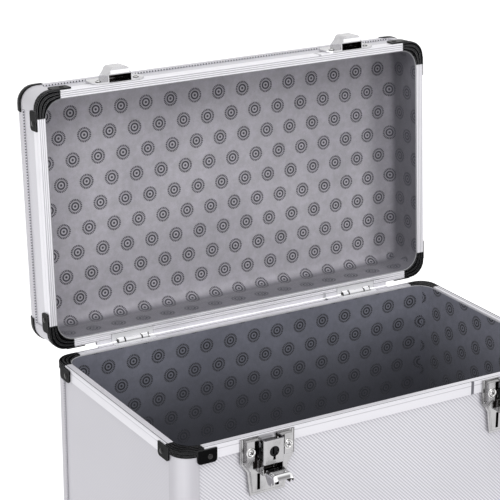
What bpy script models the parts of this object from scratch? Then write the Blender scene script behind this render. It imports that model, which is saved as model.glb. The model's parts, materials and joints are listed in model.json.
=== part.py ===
"""Record carrying case: aluminium rails, laminate panels, black corners, two key latches.

Metres, +Z up, front faces -Y. Built shut in one frame, then the lid group is swung open
about its hinge line, which is the pose of the photograph.
"""
import math

import bmesh
import bpy
from mathutils import Matrix, Vector

for old in list(bpy.data.objects):
    bpy.data.objects.remove(old, do_unlink=True)

# Overall size of the shut case
case_width = 0.360
case_depth = 0.208
foot_height = 0.004
body_height = 0.3125
lid_height = 0.043
mating_gap = 0.0004
half_width = case_width / 2
half_depth = case_depth / 2
body_under = foot_height
mating_level = body_under + body_height
lid_mouth = mating_level + mating_gap
lid_top = lid_mouth + lid_height

# Lid hinge line: runs behind the back rails, level with the joint between body and lid
hinge_offset = 0.003
open_angle = math.radians(93.5)
hinge_line = Vector((0, half_depth + hinge_offset, mating_level + mating_gap / 2))

# Shared clearances
fit_gap = 0.0002
touch_gap = 0.0003
overshoot = 0.001

# Aluminium skins, panels and the rounded edges
rail_wall = 0.0012
panel_inset = rail_wall + fit_gap
panel_thickness = 0.0036
panel_back = panel_inset + panel_thickness
corner_radius = 0.0135
corner_leg = 0.0165
panel_end = 0.0147
edge_radius = 0.009
edge_leg_in = 0.012
edge_panel_start = 0.0088
corner_segments = 6
edge_segments = 4

# Rim rails round both mouths
rim_width = 0.0064
rim_land = 0.0022
rim_nose = 0.0008
rim_body_flange = 0.0104
rim_lid_flange = 0.009
rim_inner_leg = 0.008
rim_groove_depth = 0.0005
rim_groove_half = 0.0003
rim_step_at = 0.0032
rim_end = 0.0204
ledge_depth = 0.0034
ledge_end_inset = 0.040
ledge_half_length = half_width - ledge_end_inset
ledge_soften = 0.0004
ledge_hollow_wall = 0.0006
ledge_hollow_depth = 0.0050
body_groove_places = (0.0012,)
lid_groove_places = (0.0016, 0.0032, 0.0048)

# Black rim corner brackets
bracket_end = 0.0200
bracket_proud = 0.0006
bracket_height = 0.0058
bracket_rib_places = (0.0022, 0.0042)
bracket_rib_half = 0.0005
bracket_rib_depth = 0.0004
bracket_ring_places = (0.0022, 0.0042)
bracket_ring_half = 0.0004
bracket_ring_depth = 0.0005
bracket_bend_reach = 0.0165
bracket_inner_radius = 0.0150
bracket_inner_centre = rim_width + bracket_inner_radius
tab_start = 0.0142
tab_end = 0.0302
tab_low = 0.0121
tab_high = 0.0013
tab_lift = 0.00015
tab_thickness = 0.0012
tab_round = 0.0028

# Black caps on the outer corners, the lower ones with feet
cap_proud = 0.0008
cap_lift = 0.00015
cap_leg = 0.0195
cap_side_leg = 0.0125
cap_top_leg = 0.0118
foot_radius = 0.0068
foot_cap_overlap = 0.0004

# Edge rails
base_leg = 0.0146
lid_edge_leg = 0.0146
lid_post_gap = 0.0006
step_run = 0.0001

# Linings
lining_inset = rim_width + touch_gap
lining_wall = 0.0012
lining_drop = 0.0010
lining_floor_gap = 0.0003

# Latches and their keepers, measured from the rail face outwards and from the mouth plane
latch_inset = 0.072
latch_place = half_width - latch_inset
plate_lift = 0.0001
plate_face = 0.0012
plate_half_width = 0.0228
plate_top = 0.0006
plate_shoulder = 0.0195
plate_waist = 0.0275
plate_waist_half = 0.0172
plate_foot_half = 0.0148
plate_length = 0.0465
platform_face = 0.0042
platform_inset = 0.0030
platform_draft = 0.0008
platform_top = 0.0014
platform_bottom = 0.0192
lower_face = 0.0022
lower_inset = 0.0012
plate_back = -0.0012
back_start = 0.0106
key_box_half = 0.0086
key_box_wall = 0.0011
key_box_face = 0.0110
key_box_top = 0.0011
key_box_bottom = 0.0200
key_box_round = 0.0016
channel_half = 0.0075
channel_bottom = 0.0302
ear_bottom = 0.0288
ear_back = 0.0050
window_top = 0.0036
window_bottom = 0.0176
window_back = 0.0018
window_front = 0.0094
slit_half_width = 0.0012
slit_place = 0.0080
slit_top = 0.0296
slit_bottom = 0.0424
keyhole_level = 0.0103
keyhole_radius = 0.0040
keyhole_slot_half = 0.0010
keyhole_slot_low = 0.0066
window_half = 0.0126
side_window_top = 0.0026
side_window_bottom = 0.0252

# Latch lever with its crank, the hook it drives and the lock barrel
lever_pivot_out = 0.0080
lever_pivot_down = 0.0255
crank_length = 0.0075
crank_dip_angle = math.radians(12)
pivot_pin_radius = 0.0010
pivot_hole_radius = 0.0013
pivot_pin_half = 0.0083
hub_radius = 0.0022
crank_end_radius = 0.0014
crank_pin_radius = 0.0008
lug_inner = 0.0061
lug_outer = 0.0071
lever_plate_low = 0.0008
lever_plate_high = 0.0020
lever_tongue_start = 0.0010
lever_wide_start = 0.0044
lever_tip = 0.0166
lever_half_width = 0.0086
lever_wall = 0.0012
lever_round = 0.0034
lever_cheek_depth = 0.0072
lever_tip_depth = 0.0042
lever_cheek_start = 0.0040
lever_cheek_full = 0.0090
lever_tip_fall = 0.0026
lever_nose_shares = ((0, 0), (0.76, 0), (0.85, 0.12), (0.93, 0.42), (1, 1))
lever_cheek_end = 0.0116
lever_cheek_rise = 0.0016
hook_arm_inner = 0.0047
hook_arm_outer = 0.0058
hook_eye_radius = 0.0017
hook_eye_hole = 0.0011
hook_arm_back = 0.0014
hook_arm_front = 0.0023
hook_nose = 0.0044
hook_top = 0.0039
hook_nose_height = 0.0018
hook_knee = 0.0233
hook_bar_lap = 0.00005
barrel_radius = 0.0043
barrel_back = 0.0040
barrel_front = 0.0097
barrel_cam_length = 0.0066
barrel_cam_half = 0.0010
barrel_cam_front = 0.0052
barrel_slot_half = 0.0006
barrel_slot_reach = 0.0030
barrel_slot_depth = 0.0020

# Keeper on the lid
keeper_lift = 0.0001
keeper_floor = 0.0007
keeper_plate_face = 0.0015
keeper_half_width = 0.0228
keeper_depth = 0.0200
keeper_corner = 0.0040
keeper_back_start = 0.0098
hood_half = 0.0106
hood_crown_half = 0.0084
hood_skirt = 0.0060
hood_wall = 0.0010
hood_height = 0.0123
hood_depth = 0.0172
hood_round = 0.0034
hood_tail = 0.0050
hood_front_wall = 0.0012
lip_level = 0.0063
lip_radius = 0.0010
lip_half = 0.0081

# Butt hinges between the back rails
leaf_half = 0.01875
leaf_reach = 0.0070
leaf_thickness = 0.0012
leaf_lift = 0.00005
leaf_pocket_half = 0.0191
leaf_pocket_depth = 0.00135
barrel_outer = 0.0020
hinge_pin_radius = 0.0008
hinge_hole_radius = 0.0011
centre_knuckle_half = 0.0075
side_knuckle_start = 0.0078
side_knuckle_end = 0.0138
end_web_start = 0.0141
knuckle_clear = 0.0026
pocket_drop = 0.0040
leaf_web = 0.0008

# Carrying handle on the lid top
mount_place = 0.0640
mount_half_length = 0.0150
mount_half_width = 0.0120
mount_thickness = 0.0016
mount_lift = 0.00015
mount_ear_near = 0.0050
mount_ear_far = 0.0100
mount_ear_half = 0.0055
handle_axis_height = 0.0086
handle_pin_radius = 0.0026
handle_pin_reach = 0.0116
handle_eye_hole = 0.0029
handle_eye_radius = 0.0066
handle_arm_centre = 0.0510
handle_arm_half = 0.0050
handle_arm_length = 0.0400
handle_bend = 0.0150
handle_section = 0.0056
handle_bend_segments = 6
handle_hang_angle = open_angle - math.pi / 2

# Plain counts and angles
round_segments = 20
small_segments = 12
smooth_angle = math.radians(32)
quarter_turn = math.pi / 2

# Finishes: colour, metallic, roughness
satin_aluminium = ((0.74, 0.74, 0.76, 1), 1.0, 0.38)
laminate = ((0.66, 0.66, 0.68, 1), 0.6, 0.45)
black_plastic = ((0.012, 0.012, 0.013, 1), 0.0, 0.35)
nickel = ((0.80, 0.79, 0.77, 1), 1.0, 0.16)
lining_cloth = ((0.17, 0.17, 0.20, 1), 0.0, 0.75)

case_collection = bpy.data.collections.new("record_carrying_case")
bpy.context.scene.collection.children.link(case_collection)


class Group:
    """A set of pieces that share one origin; a moving set hangs on an empty there."""

    def __init__(self, name, origin, parent=None, turn=0.0):
        self.origin = Vector(origin)
        self.empty = bpy.data.objects.new(name, None)
        case_collection.objects.link(self.empty)
        place = self.origin - (parent.origin if parent else Vector((0, 0, 0)))
        self.empty.location = place
        self.empty.rotation_euler = (turn, 0, 0)
        if parent:
            self.empty.parent = parent.empty


def mesh_object(name, bm):
    """Makes an object of a closed bmesh, with its faces turned outwards."""
    bmesh.ops.recalc_face_normals(bm, faces=bm.faces[:])
    if bm.calc_volume(signed=True) < 0:
        bmesh.ops.reverse_faces(bm, faces=bm.faces[:])
    mesh = bpy.data.meshes.new(name)
    bm.to_mesh(mesh)
    bm.free()
    obj = bpy.data.objects.new(name, mesh)
    case_collection.objects.link(obj)
    return obj


def loft(name, loops, ring=False):
    """Skins a row of equal point loops; an open row is closed by its end faces."""
    bm = bmesh.new()
    rows = [[bm.verts.new(point) for point in loop] for loop in loops]
    count = len(rows[0])
    pairs = list(zip(rows, rows[1:]))
    if ring:
        pairs.append((rows[-1], rows[0]))
    for first, second in pairs:
        for k in range(count):
            after = (k + 1) % count
            bm.faces.new((first[k], first[after], second[after], second[k]))
    if not ring:
        bm.faces.new(rows[0])
        bm.faces.new(list(reversed(rows[-1])))
    return mesh_object(name, bm)


def box(name, low, high):
    """An upright box between two opposite corners."""
    low, high = Vector(low), Vector(high)
    bm = bmesh.new()
    bmesh.ops.create_cube(bm, size=1.0)
    size = high - low
    for vert in bm.verts:
        vert.co = Vector([vert.co[i] * abs(size[i]) for i in range(3)]) + (low + high) / 2
    return mesh_object(name, bm)


def cylinder(name, start, end, radius, segments=round_segments):
    """A round bar between two points."""
    start, end = Vector(start), Vector(end)
    along = end - start
    bm = bmesh.new()
    bmesh.ops.create_cone(bm, cap_ends=True, segments=segments, radius1=radius,
                          radius2=radius, depth=along.length)
    turn = Vector((0, 0, 1)).rotation_difference(along.normalized()).to_matrix().to_4x4()
    bmesh.ops.transform(bm, matrix=Matrix.Translation((start + end) / 2) @ turn, verts=bm.verts)
    return mesh_object(name, bm)


def combine(obj, tool, operation):
    """Applies one exact boolean and removes the tool."""
    modifier = obj.modifiers.new(operation.lower(), "BOOLEAN")
    modifier.operation = operation
    modifier.solver = "EXACT"
    modifier.object = tool
    graph = bpy.context.evaluated_depsgraph_get()
    mesh = bpy.data.meshes.new_from_object(obj.evaluated_get(graph))
    obj.modifiers.clear()
    obj.data = mesh
    bpy.data.objects.remove(tool, do_unlink=True)
    return obj


def join(obj, *tools):
    """Unites the tools with the object."""
    for tool in tools:
        combine(obj, tool, "UNION")
    return obj


def cut(obj, *tools):
    """Cuts the tools out of the object."""
    for tool in tools:
        combine(obj, tool, "DIFFERENCE")
    return obj


def finish(obj, name, look, group=None, smooth=True):
    """Names a piece, gives it its own material and hangs it on its group."""
    colour, metallic, roughness = look
    obj.name = name
    obj.data.name = name
    material = bpy.data.materials.new(name + "_finish")
    material.use_nodes = True
    shader = material.node_tree.nodes["Principled BSDF"]
    shader.inputs["Base Color"].default_value = colour
    shader.inputs["Metallic"].default_value = metallic
    shader.inputs["Roughness"].default_value = roughness
    obj.data.materials.clear()
    obj.data.materials.append(material)
    if group:
        obj.data.transform(Matrix.Translation(-group.origin))
        obj.parent = group.empty
    if smooth:
        obj.data.polygons.foreach_set("use_smooth", [True] * len(obj.data.polygons))
        obj.data.set_sharp_from_angle(angle=smooth_angle)
    return obj


def wall_point(side, along, inward, level):
    """A point by its wall: distance along it, depth in from its rail face, and height."""
    places = {
        "front": (along, -half_depth + inward),
        "back": (along, half_depth - inward),
        "left": (-half_width + inward, along),
        "right": (half_width - inward, along),
    }
    return Vector((*places[side], level))


def wall_half(side):
    """Half the outer length of a wall."""
    return half_width if side in ("front", "back") else half_depth


def arc(centre, radius, start, end, segments):
    """Points on an arc, both ends included."""
    return [(centre[0] + radius * math.cos(start + (end - start) * k / segments),
             centre[1] + radius * math.sin(start + (end - start) * k / segments))
            for k in range(segments + 1)]


def corner_stations(reaches, inner_width=None):
    """Plan stations round one corner: a foot point, its inward direction, its inner width.

    Reaches are distances from the corner along the first wall, far to near; the second
    wall repeats them. Positions are depths in from the two faces."""
    stations = [((0, reach), (1, 0), reach) for reach in reaches]
    for k in range(1, corner_segments):
        angle = quarter_turn * k / corner_segments
        place = (corner_radius * (1 - math.cos(angle)), corner_radius * (1 - math.sin(angle)))
        stations.append((place, (math.cos(angle), math.sin(angle)), corner_radius))
    stations += [((reach, 0), (0, 1), reach) for reach in reversed(reaches)]
    return stations


def at_corner(sign_x, sign_y, first, second, level):
    """World point from the depths in from the side face and from the front or back face."""
    return Vector((sign_x * (half_width - first), sign_y * (half_depth - second), level))


def rounded_width(place, direction):
    """Width of the bracket at a corner station, so that its inner edge runs on a round."""
    centre = bracket_inner_centre
    along = (centre - place[0]) * direction[0] + (centre - place[1]) * direction[1]
    aside = (centre - place[0]) * direction[1] - (centre - place[1]) * direction[0]
    return along - math.sqrt(bracket_inner_radius ** 2 - aside ** 2)


corners = {"front_left": (-1, -1), "front_right": (1, -1),
           "back_left": (-1, 1), "back_right": (1, 1)}
sides = ("front", "back", "left", "right")

lid = Group("lid_axis", hinge_line, turn=-open_angle)


# Wall and end panels: flat laminate boards held in the channels of the rails
def wall_panel(name, side, low, high, group=None):
    """One upright board behind the rail faces."""
    reach = wall_half(side) - panel_end
    piece = box(name, wall_point(side, -reach, panel_inset, low),
                wall_point(side, reach, panel_back, high))
    finish(piece, name, laminate, group, smooth=False)


def end_panel(name, outer_level, inner_level, group=None):
    """The floor or top board, with its corners rounded to clear the edge rails."""
    radius = corner_radius - edge_panel_start
    plan = []
    for turn, (sx, sy) in enumerate(((1, 1), (-1, 1), (-1, -1), (1, -1))):
        centre = (sx * (half_width - corner_radius), sy * (half_depth - corner_radius))
        start = quarter_turn * turn
        plan += arc(centre, radius, start, start + quarter_turn, edge_segments)
    piece = loft(name, [[Vector((x, y, z)) for x, y in plan] for z in (outer_level, inner_level)])
    finish(piece, name, laminate, group)


panel_top = mating_level - rim_land - touch_gap
lid_panel_low = lid_mouth + rim_land + touch_gap
for side in sides:
    wall_panel(f"body_{side}_panel", side, body_under + edge_panel_start, panel_top)
    wall_panel(f"lid_{side}_panel", side, lid_panel_low, lid_top - edge_panel_start, lid)
end_panel("body_bottom_panel", body_under + panel_inset, body_under + panel_back)
end_panel("lid_top_panel", lid_top - panel_inset, lid_top - panel_back, lid)


# Upright corner posts: quarter-round skins with a short leg over each panel
def post_plan():
    """Outline of a corner post as depths in from the two faces."""
    inner = corner_radius - rail_wall
    outside = arc((corner_radius, corner_radius), corner_radius, math.pi, 1.5 * math.pi,
                  corner_segments)
    inside = arc((corner_radius, corner_radius), inner, 1.5 * math.pi, math.pi, corner_segments)
    return ([(0, corner_leg)] + outside + [(corner_leg, 0), (corner_leg, rail_wall)] + inside
            + [(rail_wall, corner_leg)])


post_bottom = body_under + base_leg + touch_gap
post_top = mating_level - bracket_height - touch_gap
for place, (sign_x, sign_y) in corners.items():
    loops = [[at_corner(sign_x, sign_y, a, b, z) for a, b in post_plan()]
             for z in (post_bottom, post_top)]
    finish(loft("post", loops), f"body_post_{place}", satin_aluminium)


# Edge rails: a rounded angle swept round the base and round the lid top
def edge_profile(leg, lift, wall, side_leg_in, bend_radius):
    """Section of a rounded angle: (depth in from the side face, depth in from the end face)."""
    centre = (bend_radius, bend_radius)
    outer = arc(centre, bend_radius + lift, math.pi, 1.5 * math.pi, edge_segments)
    inner = arc(centre, bend_radius + lift - wall, 1.5 * math.pi, math.pi, edge_segments)
    return ([(-lift, leg)] + outer + [(side_leg_in, -lift), (side_leg_in, wall - lift)] + inner
            + [(wall - lift, leg)])


def edge_ring(name, level_of, corner_side_leg, side_leg):
    """A closed rail ring; its upright leg may be longer round the corners."""
    loops = []
    order = (("front_left", False), ("front_right", True),
             ("back_right", False), ("back_left", True))
    for place, backwards in order:
        sign_x, sign_y = corners[place]
        reaches = [corner_leg + step_run, corner_leg, corner_radius]
        stations = corner_stations(reaches)
        if backwards:
            stations = stations[::-1]
        for foot, inward, reach in stations:
            leg = side_leg if reach > corner_leg else corner_side_leg
            section = edge_profile(leg, 0, rail_wall, edge_leg_in, edge_radius)
            loops.append([at_corner(sign_x, sign_y, foot[0] + inward[0] * a,
                                    foot[1] + inward[1] * a, level_of(d)) for a, d in section])
    return loft(name, loops, ring=True)


finish(edge_ring("ring", lambda d: body_under + d, base_leg, base_leg),
       "body_base_rails", satin_aluminium)
lid_post_leg = lid_height - bracket_height - lid_post_gap
finish(edge_ring("ring", lambda d: lid_top - d, lid_post_leg, lid_edge_leg),
       "lid_edge_frame", satin_aluminium, lid)


# Rim rails: channel sections that cap the panels round both mouths
def rim_profile(flange, grooves, ledge=False):
    """Section of a rim rail: (depth in from the rail face, depth from the mouth plane)."""
    points = [(rail_wall, flange), (0, flange)]
    if ledge:
        points += [(0, ledge_depth), (-hinge_offset, ledge_depth - ledge_soften),
                   (-hinge_offset, ledge_soften), (ledge_soften - hinge_offset, 0)]
    else:
        points += [(0, rim_step_at + rim_groove_half), (rim_groove_half, rim_step_at),
                   (0, rim_step_at - rim_groove_half), (0, rim_nose), (rim_groove_half, 0)]
    for place in grooves:
        points += [(place - rim_groove_half, 0), (place, rim_groove_depth),
                   (place + rim_groove_half, 0)]
    points += [(rim_width - rim_groove_half, 0), (rim_width, rim_groove_half),
               (rim_width, rim_inner_leg), (rim_width - rail_wall, rim_inner_leg),
               (rim_width - rail_wall, rim_land), (rail_wall, rim_land)]
    return points


def rim_rail(name, side, level_of, flange, grooves, group=None):
    """One straight rim rail; the back ones carry a ledge out to the hinge line."""
    reach = wall_half(side) - rim_end
    ledge = side == "back"
    profile = rim_profile(flange, grooves, ledge)
    loops = [[wall_point(side, s, a, level_of(d)) for a, d in profile] for s in (-reach, reach)]
    piece = loft(name, loops)
    if ledge:
        for sign in (-1, 1):
            cut(piece, box("trim", wall_point(side, sign * ledge_half_length, -hinge_offset * 2,
                                              level_of(-overshoot)),
                           wall_point(side, sign * half_width, 0,
                                      level_of(ledge_depth + overshoot))))
            cut(piece, box("end_hollow",
                           wall_point(side, sign * (ledge_half_length - ledge_hollow_depth),
                                      ledge_hollow_wall - hinge_offset,
                                      level_of(ledge_hollow_wall)),
                           wall_point(side, sign * half_width, -ledge_hollow_wall,
                                      level_of(ledge_depth - ledge_hollow_wall))))
            hinge_at = sign * latch_place
            cut(piece, box("pocket", wall_point(side, hinge_at - leaf_pocket_half,
                                                -hinge_offset * 2, level_of(-overshoot)),
                           wall_point(side, hinge_at + leaf_pocket_half, 0,
                                      level_of(pocket_drop))))
            cut(piece, box("seat", wall_point(side, hinge_at - leaf_pocket_half,
                                              -overshoot, level_of(-overshoot)),
                           wall_point(side, hinge_at + leaf_pocket_half,
                                      leaf_reach - hinge_offset + touch_gap,
                                      level_of(leaf_pocket_depth))))
    finish(piece, name, satin_aluminium, group)


for side in sides:
    rim_rail(f"body_rim_{side}", side, lambda d: mating_level - d, rim_body_flange,
             body_groove_places)
    rim_rail(f"lid_rim_{side}", side, lambda d: lid_mouth + d, rim_lid_flange,
             lid_groove_places, lid)


# Black brackets that bridge the rim rails round the corners, with a tab on each face
def bracket_profile():
    """Section of the bracket: ribbed outside and on the mouth, with a channel for the panels."""
    points = [(rail_wall, bracket_height), (-bracket_proud, bracket_height)]
    for place in reversed(bracket_rib_places):
        points += [(-bracket_proud, place + bracket_rib_half),
                   (bracket_rib_depth - bracket_proud, place),
                   (-bracket_proud, place - bracket_rib_half)]
    points += [(-bracket_proud, rim_nose), (rim_nose - bracket_proud, 0)]
    for place in bracket_ring_places:
        points += [(place - bracket_ring_half, 0), (place, bracket_ring_depth),
                   (place + bracket_ring_half, 0)]
    points += [(rim_width - rim_groove_half, 0), (rim_width, rim_groove_half),
               (rim_width, rim_inner_leg), (rim_width - rail_wall, rim_inner_leg),
               (rim_width - rail_wall, rim_land), (rail_wall, rim_land)]
    return points


def bracket_tab(name, place, along_side, level_of):
    """A plate with rounded lower corners lapping over one rail end."""
    sign_x, sign_y = corners[place]
    turn = tab_round
    outline = [(tab_start, tab_high), (tab_end, tab_high)]
    outline += arc((tab_end - turn, tab_low - turn), turn, 0, quarter_turn, edge_segments)
    outline += arc((tab_start + turn, tab_low - turn), turn, quarter_turn, math.pi, edge_segments)
    loops = []
    for lift in (-tab_lift, -tab_lift - tab_thickness):
        loops.append([at_corner(sign_x, sign_y, lift, s, level_of(d)) if along_side
                      else at_corner(sign_x, sign_y, s, lift, level_of(d)) for s, d in outline])
    return loft(name, loops)


def rim_corner(name, place, level_of, group=None):
    """A ribbed band round the corner united with its two tabs."""
    sign_x, sign_y = corners[place]
    loops = []
    for foot, inward, _ in corner_stations([bracket_end, bracket_bend_reach, corner_radius]):
        scale = (rounded_width(foot, inward) - rail_wall) / (rim_width - rail_wall)
        loop = []
        for a, d in bracket_profile():
            depth = a if a <= rail_wall else rail_wall + (a - rail_wall) * scale
            loop.append(at_corner(sign_x, sign_y, foot[0] + inward[0] * depth,
                                  foot[1] + inward[1] * depth, level_of(d)))
        loops.append(loop)
    band = loft(name, loops)
    join(band, bracket_tab("tab", place, True, level_of), bracket_tab("tab", place, False, level_of))
    finish(band, name, black_plastic, group)


# Caps over the outer corners; the lower ones end in feet
def corner_cap(name, place, level_of, with_foot, group=None):
    """A shell round one outer corner of the case."""
    sign_x, sign_y = corners[place]
    wall = cap_proud - cap_lift
    section = edge_profile(cap_side_leg, cap_proud, wall, cap_top_leg, edge_radius)
    loops = []
    for foot, inward, _ in corner_stations([cap_leg, corner_radius]):
        loops.append([at_corner(sign_x, sign_y, foot[0] + inward[0] * a,
                                foot[1] + inward[1] * a, level_of(d)) for a, d in section])
    piece = loft(name, loops)
    if with_foot:
        centre = at_corner(sign_x, sign_y, corner_radius, corner_radius, 0)
        top = Vector((centre.x, centre.y, foot_height - cap_lift - foot_cap_overlap / 2))
        join(piece, cylinder("foot", centre, top, foot_radius))
    finish(piece, name, black_plastic, group)


for place in corners:
    rim_corner(f"body_rim_corner_{place}", place, lambda d: mating_level - d)
    rim_corner(f"lid_rim_corner_{place}", place, lambda d: lid_mouth + d, lid)
    corner_cap(f"body_foot_corner_{place}", place, lambda d: body_under + d, True)
    corner_cap(f"lid_top_corner_{place}", place, lambda d: lid_top - d, False, lid)


# Linings: padded trays with rounded corners
def lining_plan(inset):
    """Outline of a lining tray at one depth in from the rail faces."""
    plan = []
    for turn, (sx, sy) in enumerate(((1, 1), (-1, 1), (-1, -1), (1, -1))):
        centre = (sx * (half_width - bracket_inner_centre), sy * (half_depth - bracket_inner_centre))
        start = quarter_turn * turn
        plan += arc(centre, bracket_inner_centre - inset, start, start + quarter_turn,
                    corner_segments)
    return plan


def lining(name, mouth, floor, group=None):
    """A tray open at the mouth level, closed at the floor level."""
    inner_floor = floor + math.copysign(lining_wall, mouth - floor)
    outer = lining_plan(lining_inset)
    inner = lining_plan(lining_inset + lining_wall)
    loops = [[Vector((x, y, level)) for x, y in plan]
             for plan, level in ((outer, floor), (outer, mouth), (inner, mouth),
                                 (inner, inner_floor))]
    finish(loft(name, loops), name, lining_cloth, group, smooth=False)


lining("body_lining", mating_level - lining_drop, body_under + panel_back + lining_floor_gap)
lining("lid_lining", lid_mouth + lining_drop, lid_top - panel_back - lining_floor_gap, lid)


# Butt hinges: leaves let into the mating faces, knuckles on the hinge line
def hinge_leaf(name, centre, upward, knuckles, group=None):
    """One leaf plate with its knuckles; the lower leaf also carries the pin."""
    level = mating_level if upward < 0 else lid_mouth
    near, far = level + upward * leaf_lift, level + upward * (leaf_lift + leaf_thickness)
    axis_y, axis_z = hinge_line.y, hinge_line.z
    front = axis_y - leaf_reach
    plate = box(name, (centre - leaf_half, front, near), (centre + leaf_half,
                axis_y - knuckle_clear, far))
    for sign in (-1, 1):
        near_end, far_end = sorted((sign * end_web_start, sign * leaf_half))
        join(plate, box("end_web", (centre + near_end, axis_y - knuckle_clear - overshoot, near),
                        (centre + far_end, axis_y - touch_gap, far)))
    for start, end in knuckles:
        join(plate, box("web", (centre + start, axis_y - knuckle_clear - overshoot, near),
                        (centre + end, axis_y - hinge_hole_radius - leaf_web / 2, far)))
        join(plate, cylinder("knuckle", (centre + start, axis_y, axis_z),
                             (centre + end, axis_y, axis_z), barrel_outer))
    if upward > 0:
        cut(plate, cylinder("bore", (centre - leaf_half, axis_y, axis_z),
                            (centre + leaf_half, axis_y, axis_z), hinge_hole_radius))
    else:
        join(plate, cylinder("pin", (centre - side_knuckle_end + leaf_web, axis_y, axis_z),
                             (centre + side_knuckle_end - leaf_web, axis_y, axis_z),
                             hinge_pin_radius, small_segments))
    finish(plate, name, nickel, group)


side_knuckles = ((-side_knuckle_end, -side_knuckle_start), (side_knuckle_start, side_knuckle_end))
centre_knuckle = ((-centre_knuckle_half, centre_knuckle_half),)
for word, sign in (("left", -1), ("right", 1)):
    hinge_leaf(f"hinge_{word}_body_leaf", sign * latch_place, -1, side_knuckles)
    hinge_leaf(f"hinge_{word}_lid_leaf", sign * latch_place, 1, centre_knuckle, lid)


# Latches: everything is placed from the latch centre, outwards and down from the mouth plane
def latch_point(centre, across, out, down):
    """A world point on the front of the body."""
    return Vector((centre + across, -half_depth - out, mating_level - down))


def latch_box(name, centre, across, out, down):
    """A box by its spans across, outwards and down."""
    return box(name, latch_point(centre, across[0], out[0], down[0]),
               latch_point(centre, across[1], out[1], down[1]))


def plate_outline(inset, top, bottom):
    """Stepped outline of the latch plate between two depths, drawn in by the inset."""
    rows = [(plate_half_width, plate_top), (plate_half_width, plate_shoulder),
            (plate_waist_half, plate_waist), (plate_foot_half, plate_length)]

    def half_at(down):
        for (half_a, down_a), (half_b, down_b) in zip(rows, rows[1:]):
            if down <= down_b:
                return half_a + (half_b - half_a) * (down - down_a) / (down_b - down_a)
        return rows[-1][0]

    inside = [down for _, down in rows if top < down < bottom]
    right = [(half_at(down) - inset, down) for down in [top] + inside + [bottom]]
    return right + [(-half, down) for half, down in reversed(right)]


def outline_solid(name, centre, layers):
    """A solid lofted outwards through outlines at given faces."""
    loops = [[latch_point(centre, across, out, down) for across, down in outline]
             for out, outline in layers]
    return loft(name, loops)


def key_box(centre):
    """The raised box in front of the hook, open above, with ears for the lever pin."""
    turn = key_box_round
    section = [(-key_box_half, plate_lift)]
    section += [(-x, out) for x, out in arc((key_box_half - turn, key_box_face - turn), turn, 0,
                                            quarter_turn, edge_segments)]
    section += [(x, out) for x, out in reversed(arc((key_box_half - turn, key_box_face - turn),
                                                    turn, 0, quarter_turn, edge_segments))]
    section += [(key_box_half, plate_lift)]
    shell = loft("key_box", [[latch_point(centre, x, out, down) for x, out in section]
                             for down in (key_box_top, key_box_bottom)])
    ear_low = key_box_bottom - overshoot
    for sign in (-1, 1):
        near, far = sorted((sign * channel_half, sign * key_box_half))
        join(shell, latch_box("ear", centre, (near, far),
                              (plate_lift, key_box_face - key_box_round), (ear_low, ear_bottom)))
    return shell


def latch_base(name, centre):
    """Flange plate, raised platform and key box, with the working channel cut through."""
    flange = outline_solid(name, centre, [
        (plate_lift, plate_outline(0, plate_top, plate_length)),
        (plate_face, plate_outline(0, plate_top, plate_length))])
    join(flange, outline_solid("packing", centre, [
        (plate_back, plate_outline(lower_inset, back_start, plate_length - lower_inset)),
        (plate_face - plate_lift, plate_outline(lower_inset, back_start,
                                                plate_length - lower_inset))]))
    join(flange, outline_solid("platform", centre, [
        (plate_lift * 2, plate_outline(platform_inset, platform_top, platform_bottom)),
        (platform_face, plate_outline(platform_inset + platform_draft,
                                      platform_top + platform_draft,
                                      platform_bottom - platform_draft))]))
    join(flange, outline_solid("lower", centre, [
        (plate_lift * 2, plate_outline(lower_inset, platform_bottom - platform_draft,
                                       plate_length - lower_inset)),
        (lower_face, plate_outline(lower_inset * 2, platform_bottom - platform_draft,
                                   plate_length - lower_inset * 2))]))
    join(flange, key_box(centre))
    cut(flange, latch_box("channel", centre, (-channel_half, channel_half),
                          (plate_back * 2, key_box_face - key_box_wall),
                          (plate_top - overshoot, key_box_bottom + overshoot)))
    cut(flange, latch_box("lever_well", centre, (-channel_half, channel_half),
                          (plate_back * 2, key_box_face + overshoot),
                          (key_box_bottom, channel_bottom)))
    cut(flange, latch_box("windows", centre, (-window_half, window_half),
                          (window_back, window_front), (window_top, window_bottom)))
    cut(flange, latch_box("ear_back", centre, (-key_box_half * 2, key_box_half * 2),
                          (platform_face, ear_back), (key_box_bottom, ear_bottom + overshoot)))
    for sign in (-1, 1):
        near, far = sorted((sign * (key_box_half + touch_gap), sign * window_half))
        cut(flange, latch_box("side_window", centre, (near, far),
                              (window_back, platform_face + overshoot),
                              (side_window_top, side_window_bottom)))
        cut(flange, latch_box("slit", centre,
                              (sign * slit_place - slit_half_width,
                               sign * slit_place + slit_half_width),
                              (plate_back * 2, platform_face * 2), (slit_top, slit_bottom)))
    cut(flange, cylinder("pin_hole",
                         latch_point(centre, -key_box_half * 2, lever_pivot_out, lever_pivot_down),
                         latch_point(centre, key_box_half * 2, lever_pivot_out, lever_pivot_down),
                         pivot_hole_radius))
    cut(flange, cylinder("keyhole", latch_point(centre, 0, key_box_face - key_box_wall * 2,
                                                keyhole_level),
                         latch_point(centre, 0, key_box_face + overshoot, keyhole_level),
                         keyhole_radius))
    cut(flange, latch_box("keyway", centre, (-keyhole_slot_half, keyhole_slot_half),
                          (key_box_face - key_box_wall * 2, key_box_face + overshoot),
                          (keyhole_level, keyhole_level + keyhole_slot_low)))
    return flange


def side_prism(name, centre, outline, near, far):
    """A plate lying fore and aft: an outline of (out, down) between two places across."""
    return loft(name, [[latch_point(centre, across, out, down) for out, down in outline]
                       for across in (near, far)])


def crank_end():
    """Place of the crank pin with the lever standing out, as (out, down)."""
    return (lever_pivot_out - crank_length * math.cos(crank_dip_angle),
            lever_pivot_down + crank_length * math.sin(crank_dip_angle))


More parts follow.
